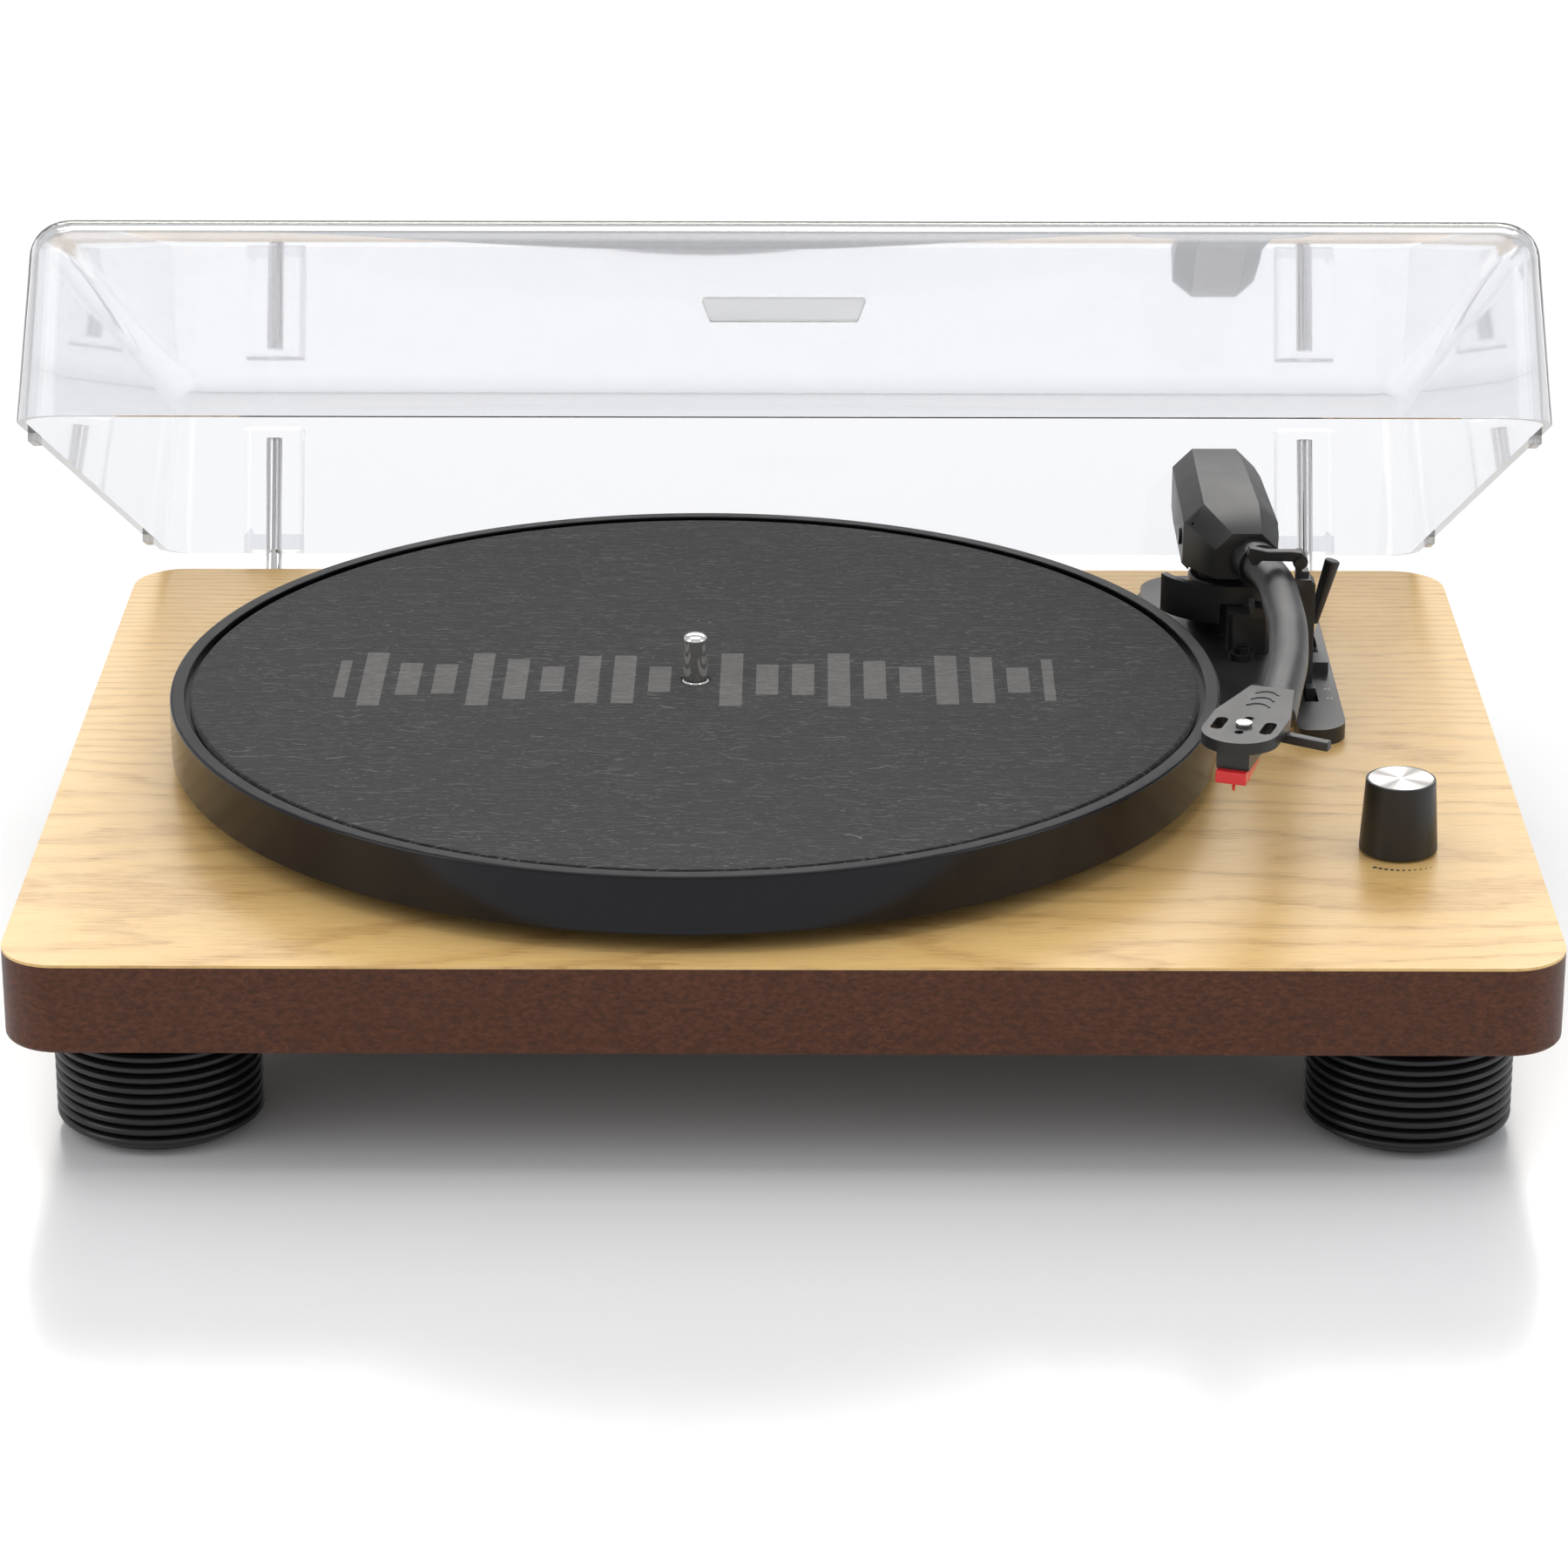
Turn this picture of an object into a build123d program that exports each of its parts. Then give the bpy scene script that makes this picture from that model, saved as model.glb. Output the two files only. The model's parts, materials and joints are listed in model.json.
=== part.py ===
from build123d import *
from math import acos, cos, degrees, radians, sin, sqrt
import os

# Belt-drive record player. Millimetres, +Z up, +X to the player's right, +Y to its rear.
# The origin is on the spindle axis, at the level of the slipmat's top, where a record's underside lies.

# ---------------------------------------------------------------- driving dimensions
plinth_w = 420.0
plinth_d = 323.0
plinth_t = 26.0
plinth_r = 16.0
veneer_t = 0.8
deck_t = 9.0
wall_t = 12.0
edge_round = 1.6

spindle_from_left = 183.5
platter_r = 153.2
platter_t = 17.3
platter_gap = 5.0
platter_plate = 3.5
rim_ring = 4.3
rim_proud = 0.5
mat_t = 2.5
mat_gap = 1.6
mat_hole_r = 4.3
spindle_r = 3.55
spindle_h = 14.4
collar_r = 4.0
shaft_r = 3.0

drive_r = 90.0
drive_wall = 3.5
hub_r = 14.0
belt_w = 4.0
belt_t = 0.8
belt_gap = 0.3
pulley_r = 5.0
pulley_flange_r = 6.5
motor_x = -112.0
motor_r = 16.0
motor_h = 20.0
motor_plate_r = 27.0
motor_plate_t = 1.2
motor_shaft_r = 1.0

bearing_flange_r = 24.0
bearing_flange_t = 3.0
bearing_tube_r = 9.0
bearing_screw_pcr = 19.5
run_gap = 0.05
fit_gap = 0.3

foot_r = 28.5
foot_core_r = 26.6
foot_h = 35.5
foot_inset = 38.0
foot_ribs = 10
foot_pad_r = 23.0
foot_pad_t = 1.5
boss_r = 20.0

bottom_t = 2.5
bottom_inset = 8.0
speaker_r = 26.0
speaker_x = 100.0
speaker_front = 66.0

knob_r = 11.0
knob_top_r = 9.8
knob_h = 21.5
knob_lift = 0.6
knob_from_right = 38.0
knob_from_front = 84.0
pot_shaft_r = 3.0

pivot_x = 162.0
pivot_y = 88.4
arm_z = 14.7
tube_r = 5.8
tube_wall = 1.4
base_t = 5.0
base_step = 3.5
base_back = 133.4
base_right = 192.1
base_left = 136.0
base_front = 22.0
wing_left = 177.5
wing_front = 3.4
platter_clear = 4.0

cover_w = 408.0
cover_d = 332.0
cover_h = 54.0
cover_t = 2.5
cover_draft = 3.5
cover_r = 12.0
cover_seat = 2.5
cover_open = 25.2
hinge_back = 6.5
hinge_drop = 12.0
hinge_side = 42.5
hinge_rod_r = 2.6

# ---------------------------------------------------------------- levels and places worked out from them
mat_top = 0.0
platter_top = mat_top + rim_proud
platter_bottom = platter_top - platter_t
top_z = platter_bottom - platter_gap
veneer_z = top_z - veneer_t
bottom_z = top_z - plinth_t
deck_z = veneer_z - deck_t
floor_z = bottom_z - foot_h
cover_plate_z = bottom_z + bottom_t
plinth_x = plinth_w / 2 - spindle_from_left
plinth_right = plinth_x + plinth_w / 2
plinth_front = -plinth_d / 2
plinth_back = plinth_d / 2

foot_spots = [
    (plinth_x + sx * (plinth_w / 2 - foot_inset), sy * (plinth_d / 2 - foot_inset))
    for sx in (-1, 1)
    for sy in (-1, 1)
]
speaker_spots = [(plinth_x + sx * speaker_x, plinth_front + speaker_front) for sx in (-1, 1)]
hinge_y = plinth_back + hinge_back
hinge_z = top_z - hinge_drop
hinge_spots = [plinth_x - plinth_w / 2 + hinge_side, plinth_x + plinth_w / 2 - hinge_side]
knob_x = plinth_right - knob_from_right
knob_y = plinth_front + knob_from_front


def written(part, name):
    """Labels a finished piece and writes it under its own name."""
    part.label = name
    export_step(part, f"parts/{name}.step")


def copies(part, places):
    """The same piece at each place, as one node of several solids."""
    return Compound(children=[Pos(*place) * part for place in places])


os.makedirs("parts", exist_ok=True)

# ---------------------------------------------------------------- plinth
inner_w = plinth_w - 2 * wall_t
inner_d = plinth_d - 2 * wall_t
rear_panel_w = 150.0
rear_panel_x = plinth_x - 70.0
rear_slot_z = bottom_z + bottom_t + 1.5
rear_slot_h = 12.0
base_well_r = 7.0
base_screw_spots = [(145.0, 118.0), (172.0, 120.0), (184.5, 14.0)]
deck_screw_r = 1.5
deck_head_r = 2.8
small_screw_r = 1.2
small_head_r = 2.3
hinge_screw_side = 9.5
hinge_screw_spots = [(x + side * hinge_screw_side, hinge_z) for x in hinge_spots for side in (-1, 1)]
slider_x = 183.6
slider_y = 34.4
slot_w = 4.0
slot_l = 14.0
pot_pocket_r = 14.0
pot_deck_t = 4.0
pot_bush_r = 3.5
slider_hole_w = 9.0
slider_hole_l = 24.0
motor_hole_r = motor_r + 3.0
bearing_screw_angle = 30.0
motor_screw_pcr = 22.5

with BuildPart() as plinth_body:
    with BuildSketch(Plane.XY.offset(bottom_z)):
        with Locations((plinth_x, 0)):
            RectangleRounded(plinth_w, plinth_d, plinth_r)
    extrude(amount=plinth_t - veneer_t)
    fillet(plinth_body.faces().sort_by(Axis.Z)[0].outer_wire().edges(), edge_round)
    with BuildSketch(Plane.XY.offset(bottom_z)):
        with Locations((plinth_x, 0)):
            RectangleRounded(inner_w, inner_d, 8)
        with Locations(*foot_spots):
            Circle(boss_r, mode=Mode.SUBTRACT)
    extrude(amount=plinth_t - veneer_t - deck_t, mode=Mode.SUBTRACT)
    with BuildSketch(Plane.XY.offset(bottom_z)):
        with Locations((plinth_x, 0)):
            RectangleRounded(plinth_w - 2 * bottom_inset, plinth_d - 2 * bottom_inset, 10)
    extrude(amount=bottom_t, mode=Mode.SUBTRACT)
    with BuildSketch(Plane.XY.offset(deck_z - 1)):
        Circle(bearing_tube_r + fit_gap)
        with PolarLocations(bearing_screw_pcr, 3, bearing_screw_angle):
            Circle(deck_screw_r)
        with Locations((motor_x, 0)):
            Circle(motor_hole_r)
            with PolarLocations(motor_screw_pcr, 3, 0):
                Circle(deck_screw_r)
        with Locations((knob_x, knob_y)):
            Circle(pot_bush_r + 0.1)
        with Locations((pivot_x, pivot_y)):
            Circle(base_well_r)
        with Locations((slider_x, slider_y)):
            RectangleRounded(slider_hole_w, slider_hole_l, 2)
        with Locations(*base_screw_spots):
            Circle(deck_screw_r)
    extrude(amount=deck_t + 2, mode=Mode.SUBTRACT)
    with BuildSketch(Plane.XY.offset(deck_z)):
        with Locations((knob_x, knob_y)):
            Circle(pot_pocket_r)
    extrude(amount=deck_t + veneer_t - pot_deck_t, mode=Mode.SUBTRACT)
    with BuildSketch(Plane.XZ.offset(-plinth_back - 1)):
        with Locations((rear_panel_x, rear_slot_z + rear_slot_h / 2)):
            Rectangle(rear_panel_w - 12, rear_slot_h)
    extrude(amount=wall_t + 2, mode=Mode.SUBTRACT)
    with BuildSketch(Plane.XZ.offset(-plinth_back)):
        with Locations(*hinge_screw_spots):
            Circle(small_screw_r)
    extrude(amount=8, mode=Mode.SUBTRACT)
written(plinth_body.part, "plinth_body")

with BuildPart() as top_veneer:
    with BuildSketch(Plane.XY.offset(veneer_z)):
        with Locations((plinth_x, 0)):
            RectangleRounded(plinth_w, plinth_d, plinth_r)
        Circle(bearing_tube_r + fit_gap, mode=Mode.SUBTRACT)
        with PolarLocations(bearing_screw_pcr, 3, bearing_screw_angle):
            Circle(deck_screw_r, mode=Mode.SUBTRACT)
        with Locations((motor_x, 0)):
            Circle(motor_hole_r, mode=Mode.SUBTRACT)
            with PolarLocations(motor_screw_pcr, 3, 0):
                Circle(deck_screw_r, mode=Mode.SUBTRACT)
        with Locations((knob_x, knob_y)):
            Circle(pot_bush_r + 0.1, mode=Mode.SUBTRACT)
        with Locations((pivot_x, pivot_y)):
            Circle(base_well_r, mode=Mode.SUBTRACT)
        with Locations((slider_x, slider_y)):
            RectangleRounded(slider_hole_w, slider_hole_l, 2, mode=Mode.SUBTRACT)
        with Locations(*base_screw_spots):
            Circle(deck_screw_r, mode=Mode.SUBTRACT)
    extrude(amount=veneer_t)
written(top_veneer.part, "top_veneer")

# ---------------------------------------------------------------- bottom cover, feet
grille_slots = 7
grille_pitch = 6.0
bottom_screw_x = plinth_w / 2 - bottom_inset - 6
bottom_screw_y = plinth_d / 2 - bottom_inset - 6
bottom_screw_spots = []
for sx in (-1, 1):
    for sy in (-1, 1):
        bottom_screw_spots.append((plinth_x + sx * bottom_screw_x, sy * plinth_d / 6))
        bottom_screw_spots.append((plinth_x + sx * plinth_w / 6, sy * bottom_screw_y))
foot_screw_r = 2.5

with BuildPart() as bottom_cover:
    with BuildSketch(Plane.XY.offset(bottom_z)):
        with Locations((plinth_x, 0)):
            RectangleRounded(plinth_w - 2 * bottom_inset, plinth_d - 2 * bottom_inset, 10)
        with Locations(*foot_spots):
            Circle(foot_screw_r, mode=Mode.SUBTRACT)
        with Locations(*bottom_screw_spots):
            Circle(deck_screw_r, mode=Mode.SUBTRACT)
        for spot in speaker_spots:
            for i in range(grille_slots):
                across = (i - (grille_slots - 1) / 2) * grille_pitch
                length = 2 * sqrt((speaker_r - 3) ** 2 - across**2)
                with Locations((spot[0], spot[1] + across)):
                    SlotOverall(length, 2.4, mode=Mode.SUBTRACT)
    extrude(amount=bottom_t)
written(bottom_cover.part, "bottom_cover")

with BuildPart() as bottom_screws:
    for spot in bottom_screw_spots:
        with Locations((spot[0], spot[1], bottom_z + 4)):
            Cylinder(1.5, 8)
        with Locations((spot[0], spot[1], bottom_z - 0.7)):
            Cylinder(2.8, 1.4)
written(bottom_screws.part, "bottom_screws")

rib_pitch = (foot_h - foot_pad_t - 3) / foot_ribs
rib_base = floor_z + foot_pad_t + 1.5
foot_head_r = 5.0
foot_head_depth = 12.0
with BuildPart() as foot:
    with BuildSketch(Plane.XZ):
        with BuildLine():
            points = [
                (0, floor_z + foot_pad_t),
                (foot_core_r - 1.5, floor_z + foot_pad_t),
                (foot_core_r, rib_base),
            ]
            for i in range(foot_ribs):
                z = rib_base + i * rib_pitch
                points += [
                    (foot_r, z + 0.25 * rib_pitch),
                    (foot_r, z + 0.75 * rib_pitch),
                    (foot_core_r, z + rib_pitch),
                ]
            points += [(foot_core_r, bottom_z), (0, bottom_z)]
            Polyline(*points, close=True)
        make_face()
    revolve(axis=Axis.Z)
    with Locations((0, 0, floor_z + foot_pad_t + foot_head_depth / 2)):
        Cylinder(foot_head_r, foot_head_depth, mode=Mode.SUBTRACT)
    with Locations((0, 0, (floor_z + bottom_z) / 2)):
        Cylinder(foot_screw_r, foot_h + 4, mode=Mode.SUBTRACT)
written(copies(foot.part, [(x, y, 0) for x, y in foot_spots]), "feet")

with BuildPart() as foot_pads:
    for spot in foot_spots:
        with Locations((spot[0], spot[1], floor_z + foot_pad_t / 2)):
            Cylinder(foot_pad_r, foot_pad_t)
written(foot_pads.part, "foot_pads")

with BuildPart() as foot_screws:
    head_z = floor_z + foot_pad_t + foot_head_depth
    for spot in foot_spots:
        with Locations((spot[0], spot[1], head_z - 1.5)):
            Cylinder(4.5, 3)
        with Locations((spot[0], spot[1], (head_z + bottom_z + bottom_t) / 2)):
            Cylinder(foot_screw_r, bottom_z + bottom_t - head_z)
written(foot_screws.part, "foot_screws")


# ---------------------------------------------------------------- platter, spindle, slipmat
recess_z = mat_top - mat_t
plate_z = recess_z - platter_plate
ring_inner = platter_r - rim_ring
drive_bottom = platter_bottom + 1.0
hub_bottom = top_z + bearing_flange_t + 1.0

with BuildPart() as platter:
    with BuildSketch(Plane.XZ):
        with BuildLine():
            Polyline(
                (collar_r, hub_bottom),
                (hub_r, hub_bottom),
                (hub_r, plate_z),
                (drive_r - drive_wall, plate_z),
                (drive_r - drive_wall, drive_bottom),
                (drive_r, drive_bottom),
                (drive_r, plate_z),
                (ring_inner - 1.5, plate_z),
                (ring_inner - 1.5, platter_bottom),
                (platter_r - 1.0, platter_bottom),
                (platter_r, platter_bottom + 1.0),
                (platter_r, platter_top - 0.8),
                (platter_r - 0.8, platter_top),
                (ring_inner, platter_top),
                (ring_inner, recess_z),
                (collar_r, recess_z),
                close=True,
            )
        make_face()
    revolve(axis=Axis.Z)
    with BuildSketch(Plane.XY.offset(plate_z)):
        with PolarLocations((hub_r + drive_r - drive_wall) / 2, 6):
            Rectangle(drive_r - drive_wall - hub_r + 1, 2.4)
    extrude(amount=-5)
written(platter.part, "platter")

with BuildPart() as slipmat:
    with BuildSketch(Plane.XY.offset(recess_z)):
        Circle(ring_inner - mat_gap)
        Circle(mat_hole_r, mode=Mode.SUBTRACT)
    extrude(amount=mat_t)
written(slipmat.part, "slipmat")

bearing_bottom = cover_plate_z + 0.5
bearing_floor = bearing_bottom + 2.0
shaft_bottom = bearing_floor + 0.02
with BuildPart() as spindle:
    with BuildSketch(Plane.XZ):
        with BuildLine():
            Polyline(
                (0, shaft_bottom),
                (shaft_r, shaft_bottom),
                (shaft_r, hub_bottom),
                (collar_r, hub_bottom),
                (collar_r, mat_top),
                (spindle_r, mat_top),
                (spindle_r, mat_top + spindle_h - 1.6),
                (spindle_r - 0.9, mat_top + spindle_h - 0.5),
                (1.2, mat_top + spindle_h),
                (0, mat_top + spindle_h),
                close=True,
            )
        make_face()
    revolve(axis=Axis.Z)
written(spindle.part, "spindle")

with BuildPart() as bearing_housing:
    with Locations((0, 0, top_z + bearing_flange_t / 2)):
        Cylinder(bearing_flange_r, bearing_flange_t)
    with Locations((0, 0, (bearing_bottom + top_z) / 2)):
        Cylinder(bearing_tube_r, top_z - bearing_bottom)
    with Locations((0, 0, bearing_floor)):
        Cylinder(shaft_r + run_gap, 60, align=(Align.CENTER, Align.CENTER, Align.MIN), mode=Mode.SUBTRACT)
    with PolarLocations(bearing_screw_pcr, 3, bearing_screw_angle):
        with Locations((0, 0, top_z)):
            Cylinder(deck_screw_r, 20, mode=Mode.SUBTRACT)
written(bearing_housing.part, "bearing_housing")

# ---------------------------------------------------------------- motor, pulley, belt
plate_top = top_z + motor_plate_t
belt_z = platter_bottom + 2.2
with BuildPart() as motor:
    with Locations((motor_x, 0, top_z - motor_h / 2)):
        Cylinder(motor_r, motor_h)
    fillet(motor.faces().sort_by(Axis.Z)[0].edges(), 1.0)
    with Locations((motor_x, 0, top_z - motor_h / 2)):
        Cylinder(motor_shaft_r + run_gap, motor_h - 4, mode=Mode.SUBTRACT)
    with Locations((motor_x, 0, top_z - 2)):
        Cylinder(motor_shaft_r + run_gap, 6, mode=Mode.SUBTRACT)
written(motor.part, "motor_can")

with BuildPart() as motor_plate:
    with BuildSketch(Plane.XY.offset(top_z)):
        with Locations((motor_x, 0)):
            Circle(motor_plate_r)
            Circle(motor_shaft_r + 1.5, mode=Mode.SUBTRACT)
            with PolarLocations(motor_screw_pcr, 3, 0):
                Circle(deck_screw_r, mode=Mode.SUBTRACT)
    extrude(amount=motor_plate_t)
written(motor_plate.part, "motor_plate")


shaft_top = belt_z + belt_w + 2.0
with BuildPart() as motor_shaft:
    with Locations((motor_x, 0, (top_z - motor_h + 3 + shaft_top) / 2)):
        Cylinder(motor_shaft_r, shaft_top - (top_z - motor_h + 3))
written(motor_shaft.part, "motor_shaft")

with BuildPart() as pulley:
    with BuildSketch(Plane.XZ):
        with BuildLine():
            Polyline(
                (motor_shaft_r, belt_z - 1.4),
                (pulley_flange_r, belt_z - 1.4),
                (pulley_flange_r, belt_z - 0.4),
                (pulley_r, belt_z - 0.4),
                (pulley_r, belt_z + belt_w + 0.4),
                (pulley_flange_r, belt_z + belt_w + 0.4),
                (pulley_flange_r, belt_z + belt_w + 1.4),
                (motor_shaft_r, belt_z + belt_w + 1.4),
                close=True,
            )
        make_face()
    revolve(axis=Axis.Z)
written(Pos(motor_x, 0, 0) * pulley.part, "motor_pulley")


def belt_outline(around_drive, around_pulley):
    """The loop that a belt line takes round the drive ring and the pulley."""
    reach = abs(motor_x)
    lean = degrees(acos((around_drive - around_pulley) / reach))
    corners = []
    for side in (1, -1):
        angle = radians(180 - side * lean)
        corners.append(
            [
                (around_drive * cos(angle), around_drive * sin(angle)),
                (motor_x + around_pulley * cos(angle), around_pulley * sin(angle)),
            ]
        )
    (a, b), (d, c) = corners
    return [a, b, c, d]


with BuildPart() as drive_belt:
    with BuildSketch(Plane.XY.offset(belt_z)):
        Circle(drive_r + belt_gap + belt_t)
        with Locations((motor_x, 0)):
            Circle(pulley_r + belt_gap + belt_t)
        Polygon(*belt_outline(drive_r + belt_gap + belt_t, pulley_r + belt_gap + belt_t), align=None)
        Circle(drive_r + belt_gap, mode=Mode.SUBTRACT)
        with Locations((motor_x, 0)):
            Circle(pulley_r + belt_gap, mode=Mode.SUBTRACT)
        Polygon(*belt_outline(drive_r + belt_gap, pulley_r + belt_gap), align=None, mode=Mode.SUBTRACT)
    extrude(amount=belt_w)
written(drive_belt.part, "drive_belt")

# ---------------------------------------------------------------- volume control
knob_bottom = top_z + knob_lift
knob_top = knob_bottom + knob_h - knob_lift
cap_r = 9.2
cap_t = 1.0
pot_top = top_z - pot_deck_t
pot_size = 17.0
pot_t = 8.0
nut_t = 2.0
bush_top = top_z + nut_t + 0.5

with BuildPart() as potentiometer:
    with Locations((knob_x, knob_y, pot_top - pot_t / 2)):
        Box(pot_size, pot_size, pot_t)
    with Locations((knob_x, knob_y, (pot_top + bush_top) / 2)):
        Cylinder(pot_bush_r, bush_top - pot_top)
    with Locations((knob_x, knob_y, pot_top - pot_t + 2)):
        Cylinder(
            pot_shaft_r + run_gap, 30, align=(Align.CENTER, Align.CENTER, Align.MIN), mode=Mode.SUBTRACT
        )
written(potentiometer.part, "potentiometer")

with BuildPart() as pot_nut:
    with BuildSketch(Plane.XY.offset(top_z)):
        with Locations((knob_x, knob_y)):
            RegularPolygon(5.8, 6)
            Circle(pot_bush_r, mode=Mode.SUBTRACT)
    extrude(amount=nut_t)
written(pot_nut.part, "pot_nut")

shaft_reach = knob_top - 4.0
with BuildPart() as pot_shaft:
    with Locations((knob_x, knob_y, (pot_top - pot_t + 2.1 + shaft_reach) / 2)):
        Cylinder(pot_shaft_r, shaft_reach - (pot_top - pot_t + 2.1))
written(pot_shaft.part, "pot_shaft")

with BuildPart() as knob:
    with BuildSketch(Plane.XZ):
        with BuildLine():
            Polyline(
                (pot_shaft_r, bush_top + 1.0),
                (5.0, bush_top + 1.0),
                (5.0, knob_top - 7),
                (knob_top_r - 1.6, knob_top - 7),
                (knob_r - 1.8, knob_bottom),
                (knob_r - 0.4, knob_bottom),
                (knob_r, knob_bottom + 0.6),
                (knob_top_r, knob_top - 0.4),
                (knob_top_r - 0.3, knob_top),
                (cap_r, knob_top),
                (cap_r, knob_top - cap_t),
                (0, knob_top - cap_t),
                (0, shaft_reach),
                (pot_shaft_r, shaft_reach),
                close=True,
            )
        make_face()
    revolve(axis=Axis.Z)
written(Pos(knob_x, knob_y, 0) * knob.part, "knob_body")

with BuildPart() as knob_cap:
    with Locations((knob_x, knob_y, knob_top - cap_t / 2)):
        Cylinder(cap_r, cap_t)
written(knob_cap.part, "knob_cap")

# ---------------------------------------------------------------- tonearm base
base_top = top_z + base_t
deck_top = base_top + base_step
step_y = 50.4
ramp_right = 173.5
turret_r = 12.0
turret_top = deck_top + 16.5
post_r = 2.5
post_top = turret_top + 16.5
lever_x = 184.8
lever_y = 70.4
lever_z = top_z + 5.5
lever_hub_r = 3.0
lever_hub_w = 3.0
axle_r = 1.0
axle_l = 10.0
block_x = 166.8
block_y = 64.2
block_w = 12.5
block_d = 11.5
block_h = 13.0
block_screw_y = 55.4
block_screw_x = 164.5

with BuildPart() as arm_base:
    with BuildSketch(Plane.XY.offset(top_z)) as base_outline:
        with Locations(((base_left + base_right) / 2, (base_front + base_back) / 2)):
            Rectangle(base_right - base_left, base_back - base_front)
        with Locations(((wing_left + base_right) / 2, (wing_front + base_front + 10) / 2)):
            Rectangle(base_right - wing_left, base_front + 10 - wing_front)
        Circle(platter_r + platter_clear, mode=Mode.SUBTRACT)
        fillet(base_outline.vertices().group_by(Axis.Y)[-1], 15)
        fillet(base_outline.vertices().group_by(Axis.Y)[0].sort_by(Axis.X)[-1], 9)
        fillet(base_outline.vertices().group_by(Axis.Y)[0].sort_by(Axis.X)[0], 3)
    extrude(amount=base_t)
    with BuildSketch(Plane.XY.offset(base_top)) as deck_outline:
        with Locations(((base_left + base_right) / 2, (step_y + base_back) / 2)):
            Rectangle(base_right - base_left - 3, base_back - step_y - 3)
        Circle(platter_r + platter_clear + 1.5, mode=Mode.SUBTRACT)
        fillet(deck_outline.vertices().group_by(Axis.Y)[-1], 13)
    extrude(amount=base_step)
    with BuildSketch(Plane.YZ.offset(base_left)):
        with BuildLine():
            Polyline(
                (step_y + 1.5, base_top),
                (step_y + 1.5, deck_top),
                (base_front + 4, base_top),
                close=True,
            )
        make_face()
    extrude(amount=ramp_right - base_left)
    with BuildSketch(Plane.XY.offset(base_top)):
        Circle(platter_r + platter_clear)
    extrude(amount=40, mode=Mode.SUBTRACT)
    with Locations((pivot_x, pivot_y, (deck_top + turret_top) / 2)):
        Cylinder(turret_r, turret_top - deck_top)
    fillet(arm_base.faces().filter_by(Plane.XY).sort_by(Axis.Z)[-1].edges(), 1.0)
    with Locations((pivot_x, pivot_y, 0)):
        Cylinder(post_r, 80, mode=Mode.SUBTRACT)
    with Locations((lever_x + 0.6, lever_y - 2.5, lever_z + 6)):
        Box(lever_hub_w + 3, 14, 20, mode=Mode.SUBTRACT)
    with Locations((lever_x, lever_y, lever_z)):
        Cylinder(axle_r + run_gap, axle_l + 0.4, rotation=(0, 90, 0), mode=Mode.SUBTRACT)
    with Locations((slider_x, slider_y, base_top)):
        Box(slot_w, slot_l, 20, mode=Mode.SUBTRACT)
    with Locations((block_screw_x, block_screw_y, deck_top)):
        Cylinder(1.5, 14, mode=Mode.SUBTRACT)
    for spot in base_screw_spots:
        with Locations((spot[0], spot[1], top_z)):
            Cylinder(deck_screw_r, 7, mode=Mode.SUBTRACT)
written(arm_base.part, "arm_base")

deck_screw_l = 10.0
flange_top = top_z + bearing_flange_t
with BuildPart() as deck_screws:
    with PolarLocations(bearing_screw_pcr, 3, bearing_screw_angle):
        with Locations((0, 0, flange_top + 0.8)):
            Cylinder(deck_head_r, 1.6)
        with Locations((0, 0, flange_top - deck_screw_l / 2)):
            Cylinder(deck_screw_r, deck_screw_l)
    with Locations((motor_x, 0, 0)):
        with PolarLocations(motor_screw_pcr, 3, 0):
            with Locations((0, 0, plate_top + 0.8)):
                Cylinder(deck_head_r, 1.6)
            with Locations((0, 0, plate_top - deck_screw_l / 2)):
                Cylinder(deck_screw_r, deck_screw_l)
    for spot in base_screw_spots:
        with Locations((spot[0], spot[1], deck_z - 0.8)):
            Cylinder(deck_head_r, 1.6)
        with Locations((spot[0], spot[1], deck_z + deck_screw_l / 2 + 1.6)):
            Cylinder(deck_screw_r, deck_screw_l + 3.2)
written(deck_screws.part, "deck_screws")

with BuildPart() as pivot_post:
    with Locations((pivot_x, pivot_y, (post_top + top_z - 6) / 2)):
        Cylinder(post_r, post_top - top_z + 6)
written(pivot_post.part, "pivot_post")

# ---------------------------------------------------------------- pivot of the arm
yoke_bottom = turret_top + 0.4
yoke_top = post_top - 1.5
yoke_w = 18.0
yoke_d = 16.0
pivot_screw_r = 1.5
housing_half = 14.4

with BuildPart() as gimbal_yoke:
    with Locations((pivot_x, pivot_y, (yoke_bottom + yoke_top) / 2)):
        Box(yoke_w, yoke_d, yoke_top - yoke_bottom)
    chamfer(gimbal_yoke.edges().filter_by(Axis.Z), 2.0)
    with Locations((pivot_x, pivot_y, 0)):
        Cylinder(post_r + run_gap, 80, mode=Mode.SUBTRACT)
    with Locations((pivot_x - yoke_w / 2, pivot_y, arm_z), (pivot_x + yoke_w / 2, pivot_y, arm_z)):
        Cylinder(pivot_screw_r + run_gap, 10, rotation=(0, 90, 0), mode=Mode.SUBTRACT)
written(gimbal_yoke.part, "gimbal_yoke")

with BuildPart() as pivot_screws:
    for side in (-1, 1):
        with Locations((pivot_x + side * (4.4 + housing_half + 1.0) / 2, pivot_y, arm_z)):
            Cylinder(pivot_screw_r, housing_half + 1.0 - 4.4, rotation=(0, 90, 0))
        with Locations((pivot_x + side * (housing_half + 0.5), pivot_y, arm_z)):
            Cylinder(2.6, 1.0, rotation=(0, 90, 0))
written(pivot_screws.part, "pivot_screws")

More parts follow.
